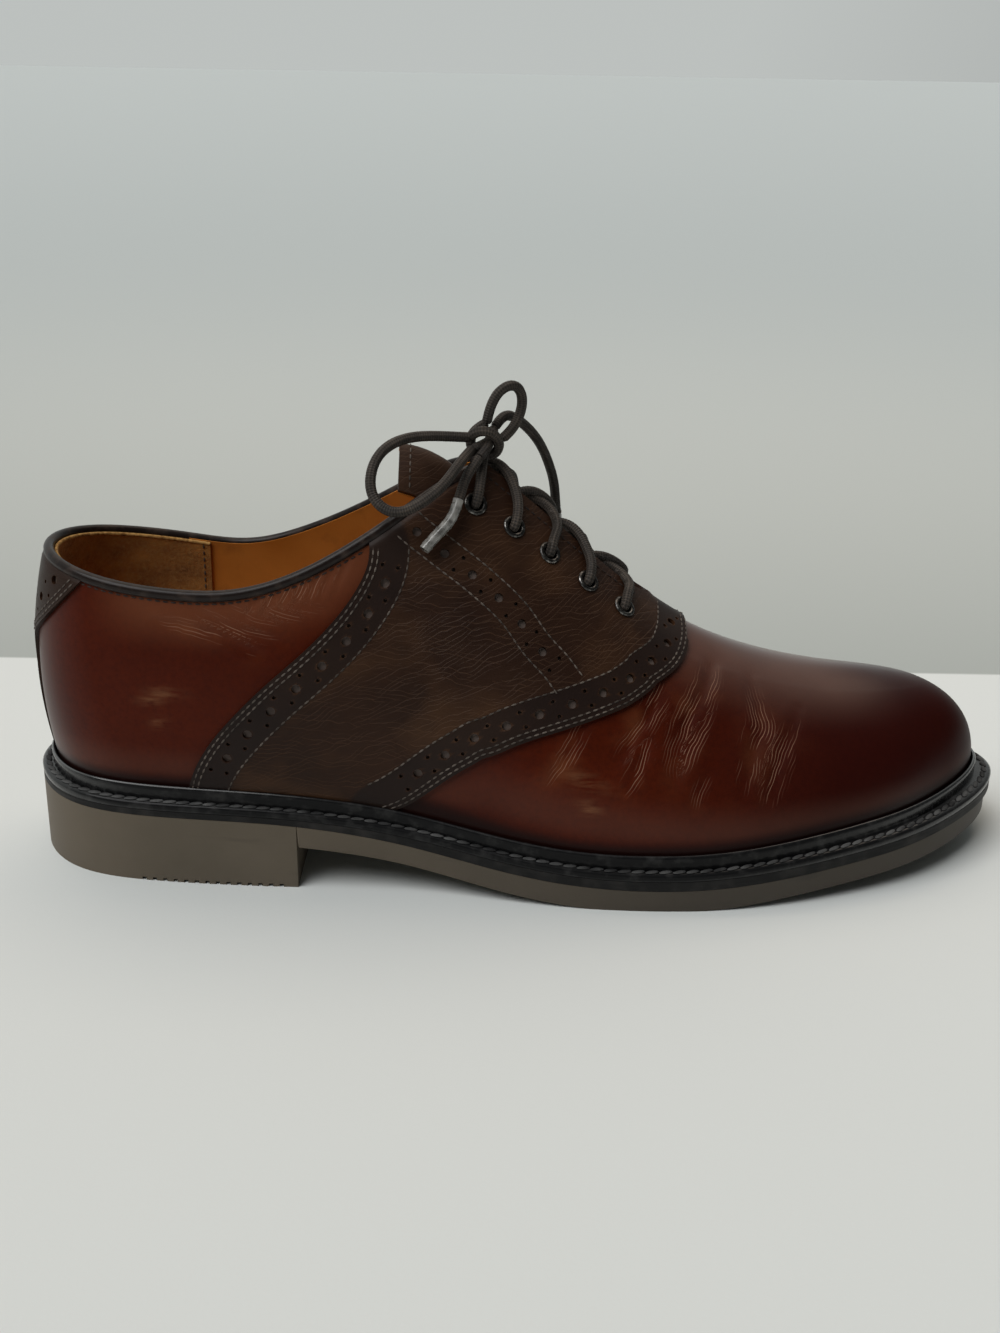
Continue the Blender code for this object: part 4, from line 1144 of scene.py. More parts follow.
def spots_along(line, pitch, first=0.0, lift=0.0):
    """Evenly spaced places along a line, with the direction of the line and of the leather there."""
    points = on_rib(*line, lift)
    length = lengths_along(points)
    at = np.arange(first, length[-1] - 0.4 * pitch, pitch)
    u = np.interp(at, length, line[0])
    share = np.interp(at, length, line[1])
    run = at_lengths(at, length, unit(np.gradient(points, axis=0)))
    return on_rib(u, share, lift), unit(run), rib_normal(u, share)


FACING_SPOTS = (
    (0.4100, 0.950),
    (0.4205, 0.900),
    (0.4331, 0.847),
    (0.4456, 0.797),
    (0.4678, 0.713),
    (0.4897, 0.673),
    (0.5101, 0.645),
    (0.5255, 0.603),
    (0.5433, 0.568),
    (0.5496, 0.549),
    (0.5535, 0.538),
)
REAR_LINE = border_line(REAR_BORDER, 0.06, 0.97)
FRONT_LINE = border_line(FRONT_BORDER, 0.06, 1.0)
FACING_LINE = line_through(FACING_SPOTS)
FOOT_RISE = 0.045
OVERLAY_GAP = 0.1
OVERLAY_WALL = 1.25
OVERLAY_TOP = OVERLAY_GAP + OVERLAY_WALL
BAND_WIDTH = 11.6
print("rear border", round(float(lengths_along(on_rib(*REAR_LINE))[-1])), "mm long")

# %% [markdown]
# The saddle is two bent grids that meet on the ridge in front of the lacing, joined and given a wall.
# At the foot and under the binding the leather is pared thin, as a shoemaker skives it.
# The holes are then punched by one Boolean with many small pins: they are real holes, and catch real shade.

# %% Saddle sheet
SADDLE_STEPS = 130
SADDLE_ROWS = 84
SADDLE_RIDGE_RISE = 0.86
SADDLE_RIDGE_PASSES = 14


def band_share(points, lines):
    """1 on the punched bands and 0 in the open field."""
    nearest = np.full(points.shape[:-1], 1e9)
    for line in lines:
        for spot in on_rib(*line)[::2]:
            nearest = np.minimum(nearest, ((points - spot) ** 2).sum(-1))
    return fade_in(-np.sqrt(nearest), -BAND_WIDTH - 0.6, -BAND_WIDTH + 0.6)


def saddle_half(inner):
    rise = np.linspace(FOOT_RISE, 1.0, SADDLE_ROWS + 1)[None, :]
    share = np.linspace(0.0, 1.0, SADDLE_STEPS + 1)[:, None]
    u = REAR_BORDER(rise) * (1 - share) + FRONT_BORDER(rise) * share
    rise = np.broadcast_to(rise, u.shape)
    station = (2.0 - u)[::-1] if inner else u
    height = rise[::-1] if inner else rise
    points = on_upper(station, height, OVERLAY_GAP)
    behind_corner = fade_in(CORNER_U - toe_share(station), -0.01, 0.01)
    collar = fade_in(height, 0.955, 0.985) * behind_corner
    full = fade_in(height, FOOT_RISE + 0.03, FOOT_RISE + 0.09) * (1.0 - collar)
    lines = [REAR_LINE, FRONT_LINE]
    columns = {
        "rise": height,
        "place": toe_share(station),
        "full": full,
        "band": band_share(points, [mirrored(line) for line in lines] if inner else lines),
    }
    return bent_grid(points, columns)


saddle_work = saddle_half(False)
join(saddle_work, saddle_half(True))
saddle_rise = saddle_work.verts.layers.float["rise"]
saddle_place = saddle_work.verts.layers.float["place"]
ridge = [v for v in saddle_work.verts if v[saddle_rise] > 0.999 and v[saddle_place] >= THROAT_END]
bmesh.ops.remove_doubles(saddle_work, verts=ridge, dist=0.5 * MM)
round_ridge(saddle_work, SADDLE_RIDGE_RISE, THROAT_END + 0.004, SADDLE_RIDGE_PASSES)
saddle = add_piece("saddle", saddle_work, DARK_LEATHER, ["saddle"])
thicken(saddle, OVERLAY_WALL, True, "full")

# %% Heel tab sheet
TAB_STEPS = 72
TAB_ROWS = 80
tab_rise = np.linspace(FOOT_RISE, 1.0, TAB_ROWS + 1)[None, :]
tab_u = np.linspace(-1.0, 1.0, TAB_STEPS + 1)[:, None] * smooth_tab_half(tab_rise)
tab_rise = np.broadcast_to(tab_rise, tab_u.shape)
tab_full = fade_in(tab_rise, FOOT_RISE, FOOT_RISE + 0.06) * fade_in(-tab_rise, -0.985, -0.955)
tab_work = bent_grid(on_upper(tab_u, tab_rise, OVERLAY_GAP), {"full": tab_full, "band": 0.6})
heel_tab = add_piece("heel_tab", tab_work, DARK_LEATHER, ["heel_tab"])
thicken(heel_tab, OVERLAY_WALL, True, "full")

# %% Punch the holes
BIG_HOLE = 1.4
SMALL_HOLE = 0.6
HOLE_PITCH = 10.3
BAND_MIDDLE = 6.6
PAIR_SPREAD = 2.3
PIN_REACH = 1.9
EYELET_HOLE = 2.6
EYELET_PIN_REACH = 5.0
FIRST_REAR_HOLE = 16.6
FIRST_FRONT_HOLE = 15.7
FIRST_TAB_HOLE = 5.5
FIRST_FACING_HOLE = 3.5
FIRST_FACING_PAIR = 8.6
TAB_LINE = border_line(smooth_tab_half, 0.62, 0.965)


def add_pins(work, spots, radius, reach, sides):
    """Round pins that stand through the leather."""
    for place, way in zip(*spots):
        turn = Vector((0, 0, 1)).rotation_difference(Vector(way)).to_matrix().to_4x4()
        bmesh.ops.create_cone(
            work,
            cap_ends=True,
            segments=sides,
            radius1=radius * MM,
            radius2=radius * MM,
            depth=2 * reach * MM,
            matrix=Matrix.Translation(placed(place)) @ turn,
        )


def punch_band(work, line, side, first):
    """Large holes along the middle of a band, with a pair of small ones between them."""
    for distance, radius, start, sides in (
        (BAND_MIDDLE, BIG_HOLE, first, 16),
        (BAND_MIDDLE - PAIR_SPREAD, SMALL_HOLE, first - HOLE_PITCH / 2, 10),
        (BAND_MIDDLE + PAIR_SPREAD, SMALL_HOLE, first - HOLE_PITCH / 2, 10),
    ):
        row = moved_line(line, side * distance)
        for each in (row, mirrored(row)):
            spot, _, out = spots_along(each, HOLE_PITCH, start, OVERLAY_TOP)
            add_pins(work, (spot, out), radius, PIN_REACH, sides)


def punch(pieces, pins, name):
    """Cuts all pins out of each piece."""
    mesh = bpy.data.meshes.new(name)
    pins.to_mesh(mesh)
    pins.free()
    cutter = bpy.data.objects.new(name, mesh)
    bpy.context.scene.collection.objects.link(cutter)
    for piece in pieces:
        modifier = piece.modifiers.new(name, "BOOLEAN")
        modifier.operation = "DIFFERENCE"
        modifier.solver = "EXACT"
        modifier.object = cutter
        settle(piece)
        print(piece.name, len(piece.data.polygons), "faces after punching")
    bpy.data.objects.remove(cutter)


def eyelet_pins():
    work = bmesh.new()
    for inner in (False, True):
        u = np.array([eyelet_u(number, inner) for number in range(1, 6)])
        foot = on_upper(u, EYELET_RISE)
        out = unit(on_upper(u, EYELET_RISE, 1.0) - foot)
        add_pins(work, (foot, out), EYELET_HOLE, EYELET_PIN_REACH, 24)
    return work


saddle_pins = eyelet_pins()
punch_band(saddle_pins, REAR_LINE, -1.0, FIRST_REAR_HOLE)
punch_band(saddle_pins, FRONT_LINE, 1.0, FIRST_FRONT_HOLE)
FACING_ROWS = (
    (0.0, BIG_HOLE, FIRST_FACING_HOLE),
    (PAIR_SPREAD, SMALL_HOLE, FIRST_FACING_PAIR),
    (-PAIR_SPREAD, SMALL_HOLE, FIRST_FACING_PAIR),
)
for offset, radius, start in FACING_ROWS:
    facing_row = moved_line(FACING_LINE, offset)
    for each_row in (facing_row, mirrored(facing_row)):
        row_spot, _, row_out = spots_along(each_row, HOLE_PITCH, start, OVERLAY_TOP)
        add_pins(saddle_pins, (row_spot, row_out), radius, PIN_REACH, 14)
punch([saddle], saddle_pins, "saddle_pins")
tab_pins = bmesh.new()
punch_band(tab_pins, TAB_LINE, 1.0, FIRST_TAB_HOLE)
punch([heel_tab], tab_pins, "tab_pins")
punch([vamp, quarter_outer, quarter_inner], eyelet_pins(), "eyelet_pins")

# %% [markdown]
# ## Stitches
# Each stitch is a small thread that bulges between two needle holes.
# One rounded shape is copied along the rows.
# The rows follow the borders: two close rows outside and one row inside each punched band.
# Every stitch is dropped onto the finished mesh, so it lies on the leather wherever that was smoothed.
# Small dark dots between the stitches are painted shade for the needle holes.

# %% Thread finish and stitch rows
STITCH_PITCH = 2.4
STITCH_LENGTH = 1.7
STITCH_WIDTH = 0.56
NEEDLE_WIDTH = 0.75
FIRST_STITCH = 0.8


def make_thread_finish(name, dark, light):
    finish, tree, shader, place = start_finish(name, Specular_IOR_Level=0.3)
    twist = noise(tree, place, 1900.0, 2.0)
    soil = limits(tree, noise(tree, place, 120.0, 3.0), 0.35, 0.68)
    colour = mix(tree, soil, dark, light)
    roughness = limits(tree, twist, 0.3, 0.7, 0.6, 0.85)
    end_finish(tree, shader, colour, roughness, bump(tree, twist, 0.4, 0.0002))
    return finish


PANEL_THREAD = make_thread_finish("panel_thread", rgb(0.04, 0.032, 0.026), rgb(0.135, 0.11, 0.092))
# Dark thread for the edge rows, also used for the painted shade in the needle holes.
DARK_THREAD_AND_SHADE = make_thread_finish("dark_thread_and_shade", rgb(0.012, 0.008, 0.007), rgb(0.035, 0.022, 0.017))


def stitch_shape(length, width, tall=0.8):
    """Rounded stitch, whose height is a share of its width."""
    work = bmesh.new()
    bmesh.ops.create_uvsphere(work, u_segments=6, v_segments=5, radius=0.5 * MM)
    bmesh.ops.rotate(work, verts=work.verts, matrix=Matrix.Rotation(math.pi / 2, 3, "Y"))
    bmesh.ops.scale(work, verts=work.verts, vec=(length, width, width * tall))
    shape = bpy.data.meshes.new("stitch")
    work.to_mesh(shape)
    work.free()
    return shape


def stitch_frame(foot, along, up):
    """Matrix that sets a stitch on its foot, along its row and up from the leather."""
    return Matrix.Translation(foot) @ Matrix((along, up.cross(along), up)).transposed().to_4x4()


def lay_stitch(work, shape, matrix):
    """Adds one copy of a stitch."""
    before = len(work.verts)
    work.from_mesh(shape)
    work.verts.ensure_lookup_table()
    bmesh.ops.transform(work, matrix=matrix, verts=work.verts[before:])


def sew(work, shape, spots, carrier, sink=-0.08):
    """Lays one stitch at each place, on the leather of a piece or a little below it."""
    for place, run, out in zip(*spots):
        foot = carrier.closest_point_on_mesh(Vector(placed(place)))[1]
        up = Vector(out)
        along = (Vector(run) - up * up.dot(Vector(run))).normalized()
        lay_stitch(work, shape, stitch_frame(foot - up * sink * MM, along, up))


def sew_both(work, shape, line, carrier, first=FIRST_STITCH, sink=-0.08):
    for each in (line, mirrored(line)):
        sew(work, shape, spots_along(each, STITCH_PITCH, first, OVERLAY_TOP), carrier, sink)


ROW_OUTER = 1.1
ROW_SECOND = 2.6
ROW_FACING = 4.7
stitch = stitch_shape(STITCH_LENGTH, STITCH_WIDTH)
needle = stitch_shape(NEEDLE_WIDTH, NEEDLE_WIDTH)
saddle_lines = [moved_line(REAR_LINE, -distance) for distance in (ROW_OUTER, ROW_SECOND, BAND_WIDTH)]
saddle_lines += [moved_line(FRONT_LINE, distance) for distance in (ROW_OUTER, ROW_SECOND, BAND_WIDTH)]
saddle_lines += [moved_line(FACING_LINE, distance) for distance in (-ROW_FACING, ROW_FACING)]
tab_lines = [moved_line(TAB_LINE, distance) for distance in (ROW_OUTER, ROW_SECOND)]
panel_rows, needle_shade_rows = bmesh.new(), bmesh.new()
for lines, carrier in ((saddle_lines, saddle), (tab_lines, heel_tab)):
    for line in lines:
        sew_both(panel_rows, stitch, line, carrier)
        # Dark dots in the gaps between stitches: painted shade in the needle holes.
        sew_both(needle_shade_rows, needle, line, carrier, first=FIRST_STITCH + STITCH_PITCH / 2, sink=0.2)
add_piece("panel_stitches", panel_rows, PANEL_THREAD)
add_piece("needle_hole_shade", needle_shade_rows, DARK_THREAD_AND_SHADE)

EDGE_ROW = line_at(np.linspace(CORNER_U + 0.006, THROAT_END - 0.012, LINE_SAMPLES), 0.962)
COLLAR_ROW = line_at(np.linspace(0.004, 0.37, LINE_SAMPLES), 0.958)
edge_rows = bmesh.new()
sew_both(edge_rows, stitch, EDGE_ROW, saddle)
sew(edge_rows, stitch, spots_along(COLLAR_ROW, STITCH_PITCH), quarter_outer)
sew(edge_rows, stitch, spots_along(mirrored(COLLAR_ROW), STITCH_PITCH), quarter_inner)
add_piece("edge_stitches", edge_rows, DARK_THREAD_AND_SHADE)

# %% [markdown]
# ## Collar binding
# A narrow strip of dark leather is rolled over the top edge,
# from one facing's corner round the heel to the other.
# It is a tube with an oval section. It narrows to nothing at both ends, where the real strip is tucked in.

# %% Rolled binding
BINDING_STEPS = 420
BINDING_SIDES = 14
BINDING_HALF_WIDE = 1.6
BINDING_HALF_TALL = 1.75
BINDING_DEPTH = -0.25
BINDING_TAPER = 90.0


def make_binding_finish():
    finish, tree, shader, place = start_finish(
        "binding_leather", IOR=1.22, Coat_Weight=0.25, Coat_Roughness=0.22, Coat_IOR=1.35
    )
    wear = limits(tree, noise(tree, place, 210.0, 4.0), 0.5, 0.72)
    colour = mix(tree, wear, rgb(0.0115, 0.0072, 0.006), rgb(0.042, 0.028, 0.022))
    pores = noise(tree, place, 1300.0, 3.0)
    roughness = limits(tree, wear, 0.0, 1.0, 0.34, 0.5)
    end_finish(tree, shader, colour, roughness, bump(tree, pores, 0.16, 0.0003))
    return finish


BINDING = make_binding_finish()
binding_u = np.linspace(-CORNER_U - 0.004, CORNER_U + 0.004, BINDING_STEPS + 1)
binding_place = np.mod(binding_u, 2.0)
binding_middle = on_upper(binding_place, 0.992, BINDING_DEPTH)
binding_run = unit(np.gradient(binding_middle, axis=0))
binding_out = unit(on_upper(binding_place, 0.985, 0.0) - on_upper(binding_place, 0.985, -1.0))
binding_out = unit(binding_out - binding_run * (binding_out * binding_run).sum(-1, keepdims=True))
binding_up = np.cross(binding_out, binding_run)
binding_angle = np.linspace(0.0, math.tau, BINDING_SIDES + 1)
binding_from_end = 1.0 - np.abs(np.linspace(-1.0, 1.0, BINDING_STEPS + 1))
binding_end = np.sqrt(np.clip(binding_from_end * BINDING_TAPER, 0.0, 1.0))[:, None, None]
binding_oval = (
    BINDING_HALF_WIDE * np.cos(binding_angle)[None, :, None] * binding_out[:, None]
    + BINDING_HALF_TALL * np.sin(binding_angle)[None, :, None] * binding_up[:, None]
)
binding_work = bent_grid(binding_middle[:, None] + binding_end * binding_oval)
close_up(binding_work)
add_piece("collar_binding", binding_work, BINDING)

# %% [markdown]
# ## Lining, sock and tongue
# Inside, the front is lined with smooth tan leather and the heel with its rough side,
# so that the foot grips.
# A sock of the same tan leather covers the insole. The tongue is dark outside and tan inside.

# %% Lining finishes
def make_tan_finish():
    finish, tree, shader, place = start_finish("tan_lining", IOR=1.3)
    cloud = noise(tree, place, 30.0, 5.0)
    colour = mix(tree, limits(tree, cloud, 0.3, 0.72), rgb(0.41, 0.138, 0.02), rgb(0.6, 0.228, 0.041))
    soil = limits(tree, noise(tree, place, 90.0, 4.0), 0.56, 0.8)
    colour = mix(tree, maths(tree, "MULTIPLY", soil, 0.5), colour, rgb(0.1, 0.042, 0.014))
    pores = noise(tree, place, 1100.0, 3.0)
    roughness = limits(tree, cloud, 0.3, 0.7, 0.45, 0.62)
    end_finish(tree, shader, colour, roughness, bump(tree, pores, 0.15, 0.0003))
    return finish


def make_suede_finish():
    finish, tree, shader, place = start_finish(
        "suede_lining", Sheen_Weight=0.35, Sheen_Roughness=0.5, Sheen_Tint=rgb(0.55, 0.3, 0.1)
    )
    cloud = noise(tree, place, 110.0, 5.0, stretch=(0.6, 1.0, 1.0), roughness=0.65)
    nap = noise(tree, place, 900.0, 5.0, roughness=0.7)
    colour = mix(tree, limits(tree, cloud, 0.3, 0.7), rgb(0.14, 0.05, 0.008), rgb(0.4, 0.175, 0.033))
    colour = mix(tree, limits(tree, nap, 0.45, 0.7, 0.0, 0.6), colour, rgb(0.36, 0.2, 0.07))
    shader.inputs["Roughness"].default_value = 0.92
    end_finish(tree, shader, colour, None, bump(tree, nap, 0.6, 0.0007))
    return finish


def make_raw_edge_finish():
    finish, tree, shader, place = start_finish("raw_lining_edge", Roughness=0.9, Specular_IOR_Level=0.2)
    fray = noise(tree, place, 800.0, 4.0)
    colour = mix(tree, limits(tree, fray, 0.35, 0.65), rgb(0.19, 0.09, 0.024), rgb(0.46, 0.27, 0.09))
    end_finish(tree, shader, colour, None, bump(tree, fray, 0.5, 0.0005))
    return finish


TAN = make_tan_finish()
RAW_EDGE = make_raw_edge_finish()
SUEDE = make_suede_finish()

# %% Lining sheets
LINING_DEPTH = -(LEATHER_WALL + 0.12)
LINING_WALL = 0.8
HEEL_LINING_U = 0.215
LINING_FACE = LINING_DEPTH - 2 * LINING_WALL - 0.4


def add_lining(name, from_u, to_u, steps, rows, depth, top, finish):
    rise = np.linspace(0.02, top, rows + 1)[None, :]
    u = np.linspace(from_u, to_u, steps + 1)[:, None] + 0.0 * rise
    work = bent_grid(on_upper(u, rise + 0.0 * u, depth))
    bmesh.ops.remove_doubles(work, verts=work.verts, dist=MERGE)
    piece = add_piece(name, work, finish)
    thicken(piece, LINING_WALL, outward=False)
    return piece


lining = add_lining("lining", 0.195, 1.805, 330, 44, LINING_DEPTH, 1.0, TAN)
punch([lining], eyelet_pins(), "lining_pins")
SUEDE_DEPTH = LINING_DEPTH - LINING_WALL - 0.1
heel_lining = add_lining("heel_lining", -HEEL_LINING_U, HEEL_LINING_U, 130, 40, SUEDE_DEPTH, 0.99, SUEDE)
settle(heel_lining)
edge_u = np.mod(np.linspace(-HEEL_LINING_U, HEEL_LINING_U, 180), 2.0)
edge_route = on_upper(edge_u, 0.988, SUEDE_DEPTH - LINING_WALL / 2)
add_piece("heel_lining_edge", tube(edge_route, np.full(len(edge_route), 0.62)), RAW_EDGE)
seam_row = line_at(HEEL_LINING_U - 0.006, np.linspace(0.1, 0.97, LINE_SAMPLES))
seam_work = bmesh.new()
for each_row in (seam_row, mirrored(seam_row)):
    seam_spots = spots_along(each_row, STITCH_PITCH, FIRST_STITCH, LINING_FACE)
    sew(seam_work, stitch, seam_spots, heel_lining, sink=0.08)
add_piece("heel_lining_stitches", seam_work, PANEL_THREAD)

# %% [markdown]
# The layers of the sole share one plan. A grid laid between the outer and the inner edge covers it,
# with its columns closer together at the round ends. Extruding the grid gives a layer its thickness.

# %% Sheets in the plan of the sole
def plan_edges(inset, x):
    """Outer and inner edge of the sole at places along it, moved in by inset."""
    fine = np.linspace(0.0, 1.0, 1201)
    sides = []
    for u in (fine, 2.0 - fine):
        width = inset(u) if callable(inset) else inset
        plan = edge(u, width)[0]
        order = np.argsort(plan[:, 0])
        sides.append((plan[order, 0], plan[order, 1]))
    low = max(side[0][0] for side in sides)
    high = min(side[0][-1] for side in sides)
    x = low + (high - low) * x
    return x, np.interp(x, *sides[0]), np.interp(x, *sides[1])


def sole_grid(inset, share, rows, height):
    """Points of a layer's face, from the outer edge to the inner one."""
    x, outer, inner = plan_edges(inset, share)
    across = np.linspace(0.0, 1.0, rows + 1)[None, :]
    y = outer[:, None] * (1 - across) + inner[:, None] * across
    x = np.broadcast_to(x[:, None], y.shape)
    return np.stack([x, y, height(x)], -1)


def layer(top, bottom):
    """Closed layer between two faces with the same grid."""
    long_steps, wide_steps = top.shape[0] - 1, top.shape[1] - 1
    columns = {"row": np.arange(long_steps + 1)[:, None], "lane": np.arange(wide_steps + 1)[None, :]}
    work = bent_grid(top, columns)
    row, lane = (work.verts.layers.float[name] for name in ("row", "lane"))
    made = bmesh.ops.extrude_face_region(work, geom=work.faces[:])
    under = placed(bottom)
    for vert in (part for part in made["geom"] if isinstance(part, bmesh.types.BMVert)):
        vert.co = under[int(round(vert[row])), int(round(vert[lane]))]
    close_up(work)
    return work


def round_spacing(steps):
    return (1.0 - np.cos(np.linspace(0.0, math.pi, steps + 1))) / 2


SOCK_STEPS = 120
SOCK_ROWS = 24


def sock_inset(u):
    return WELT_WIDTH(u) + 3.4


sock_top = sole_grid(sock_inset, round_spacing(SOCK_STEPS), SOCK_ROWS, lambda x: BED_Z(x) + 3.4)
sock_dish = np.linspace(-1.0, 1.0, SOCK_ROWS + 1)[None, :] ** 4
sock_top[..., 2] += 1.2 * sock_dish
sock_bottom = sock_top - np.array([0.0, 0.0, 3.0])
add_piece("sock", layer(sock_top, sock_bottom), TAN, ["insole"])

# %% [markdown]
# The tongue lies under the facings and stands free above them. It follows the same ribs, a little deeper,
# which leaves room for the lace. Its free end arches back over the instep.
# Its lining stops a little short of the free end, and one row of stitches runs along that end.

# %% Tongue
TONGUE_ROWS = 44
TONGUE_FREE_ROWS = 20
TONGUE_LANES = 28
TONGUE_FRONT = 0.70
TONGUE_BACK = 0.478
TONGUE_HALF = 22.0
TONGUE_REACH = np.array([-22.5, 0.0, 11.5])
TONGUE_ARCH = 2.6
TONGUE_FLATTEN = 0.15
TONGUE_DEPTH = -5.6
TONGUE_WALL = 1.3
TONGUE_ROUNDING = 28


def tongue_points(depth, reach):
    across = np.linspace(-1.0, 1.0, TONGUE_LANES + 1)
    station = np.linspace(TONGUE_FRONT, TONGUE_BACK, TONGUE_ROWS)[:, None]
    share = 1.0 - np.abs(across) * TONGUE_HALF / (3.0 * RIB_BROW(station))
    held = on_rib(np.where(across <= 0, station, 2.0 - station), share)
    for _ in range(TONGUE_ROUNDING):
        held[:, 1:-1] = held[:, 1:-1] / 2 + (held[:, :-2] + held[:, 2:]) / 4
    held = held + depth * unit(np.cross(np.gradient(held, axis=1), np.gradient(held, axis=0)))
    free_share = np.linspace(0.0, 1.0, TONGUE_FREE_ROWS + 1)[1:, None, None]
    last = held[-1]
    free = last[None] + free_share * reach * TONGUE_REACH
    free[..., 2] += 4 * TONGUE_ARCH * (free_share * (1 - free_share))[..., 0]
    middle = TONGUE_LANES // 2
    free[..., 2] += TONGUE_FLATTEN * free_share[..., 0] ** 2 * (last[middle, 2] - last[:, 2])
    return np.concatenate([held, free])


def add_tongue(name, depth, reach, wall, finish, nodes=()):
    points = tongue_points(depth, reach)
    work = bent_grid(points[:, ::-1], {"band": 0.2})
    piece = add_piece(name, work, finish, nodes)
    thicken(piece, wall, outward=False)
    settle(piece)
    return piece


tongue = add_tongue("tongue", TONGUE_DEPTH, 1.0, TONGUE_WALL, DARK_LEATHER, ["tongue"])
add_tongue("tongue_lining", TONGUE_DEPTH - TONGUE_WALL - 0.1, 0.97, 0.7, TAN)

# %% Tongue stitches
TONGUE_STITCH_ROW = -4
tongue_net = tongue_points(TONGUE_DEPTH, 1.0)
tongue_row = tongue_net[TONGUE_STITCH_ROW, 1:-1]
tongue_length = lengths_along(tongue_row)
tongue_at = np.arange(1.0, tongue_length[-1], STITCH_PITCH)
tongue_run = np.gradient(tongue_row, axis=0)
tongue_way = unit(np.cross(tongue_run, TONGUE_REACH))
tongue_way = tongue_way * np.sign(tongue_way[:, 2:])
tongue_rows = bmesh.new()
tongue_lines = (tongue_row, tongue_run, tongue_way)
tongue_spots = [at_lengths(tongue_at, tongue_length, values) for values in tongue_lines]
tongue_spots[1] = unit(tongue_spots[1])
sew(tongue_rows, stitch, tongue_spots, tongue)
add_piece("tongue_stitches", tongue_rows, PANEL_THREAD)

# %% [markdown]
# ## Eyelets
# Ten small metal rings are pressed through the facings. A ring is a profile turned once round its axis.
# The plating is dark, with brighter worn scratches here and there.

# %% Eyelets
RING_SEGMENTS = 28
RING_PROFILE = (
    (1.95, -2.6),
    (2.45, -2.6),
    (2.45, 1.4),
    (3.45, 1.42),
    (3.6, 1.62),
    (3.5, 1.95),
    (3.15, 2.16),
    (2.7, 2.2),
    (2.3, 2.05),
    (2.05, 1.7),
    (1.95, 1.2),
)


def make_plating_finish():
    finish, tree, shader, place = start_finish("dark_plating", Metallic=1.0)
    scratch = noise(tree, place, 700.0, 4.0)
    colour = mix(tree, limits(tree, scratch, 0.48, 0.72), rgb(0.05, 0.048, 0.046), rgb(0.26, 0.25, 0.235))
    roughness = limits(tree, scratch, 0.3, 0.7, 0.4, 0.26)
    end_finish(tree, shader, colour, roughness, bump(tree, scratch, 0.1, 0.0002))
    return finish


PLATING = make_plating_finish()


def add_eyelet(number, inner):
    u = eyelet_u(number, inner)
    foot = on_upper(u, EYELET_RISE)
    axis = Vector(unit(on_upper(u, EYELET_RISE, 1.0) - foot))
    aside = axis.orthogonal().normalized()
    middle = Vector(placed(foot))
    work = bmesh.new()
    corners = [middle + (aside * radius + axis * height) * MM for radius, height in RING_PROFILE]
    ring = [work.verts.new(corner) for corner in corners]
    rim = [work.edges.new(pair) for pair in zip(ring, ring[1:] + ring[:1])]
    bmesh.ops.spin(
        work, geom=ring + rim, cent=middle, axis=axis, angle=math.tau, steps=RING_SEGMENTS, use_merge=True
    )
    close_up(work)
    name = f"eyelet_{'inner' if inner else 'outer'}_{number}"
    add_piece(name, work, PLATING, [name], sharp=50.0)


for eyelet_number in range(1, 6):
    add_eyelet(eyelet_number, False)
    add_eyelet(eyelet_number, True)

# %% [markdown]
# ## Welt, midsole and outsole
# A black welt runs round the feather line: a shelf out to the sole's edge and a lip that keeps water out.
# Its section is a short list of corners, and the same list is set up at every place round the foot.
# Thick stitches along the shelf join welt and sole.

# %% Welt finish and section
def make_welt_finish():
    finish, tree, shader, place = start_finish("black_welt", IOR=1.12, Coat_Roughness=0.2)
    facing = rim_share(tree)
    tree.links.new(limits(tree, facing, 0.15, 0.35, 0.15, 0.9), shader.inputs["Coat Weight"])
    tree.links.new(limits(tree, column_of(tree, "polished"), 0.0, 1.0, 1.5, 2.7), shader.inputs["Coat IOR"])
    dust = limits(tree, noise(tree, place, 260.0, 5.0), 0.5, 0.78)
    dusty = maths(tree, "MULTIPLY", dust, 0.5)
    colour = mix(tree, dusty, rgb(0.0075, 0.0075, 0.008), rgb(0.055, 0.054, 0.053))
    fibre = noise(tree, place, 800.0, 4.0)
    roughness = limits(tree, dust, 0.0, 1.0, 0.36, 0.62)
    end_finish(tree, shader, colour, roughness, bump(tree, fibre, 0.25, 0.0004))
    return finish


WELT_BLACK = make_welt_finish()
WELT_STEPS = 520
WELT_WALL = 2.6
LIP_CREST = [12, 13]
TOE_REACH = 1.2
TOE_SPREAD = 0.07
welt_u = np.linspace(0.0, 2.0, WELT_STEPS + 1)
welt_plan, welt_way = edge(welt_u)
welt_out = with_height(welt_way, 0.0)
welt_bed = BED_Z(welt_plan[:, 0])
welt_width = WELT_WIDTH(welt_u)
welt_ribs = rib(welt_u[:, None], np.linspace(0.0, 0.3, 41)[None, :])


def beside_leather(height, gap):
    """Ring of places beside the leather, at a height above the bed."""
    ring = [at_lengths(points[0, 2] + height, points[:, 2], points) for points in welt_ribs]
    return np.array(ring) + gap * welt_out


def toe_inset(u):
    """The welt stands out a little further round the toe."""
    return -TOE_REACH * np.exp(-(((u - 1.0) / TOE_SPREAD) ** 2))


def from_sole_edge(inward, height):
    """Ring of places on the shelf, a share of its width in from the sole's edge."""
    plan = welt_plan - welt_way * (inward * welt_width + (1.0 - inward) * toe_inset(welt_u))[:, None]
    return with_height(plan, welt_bed + height)


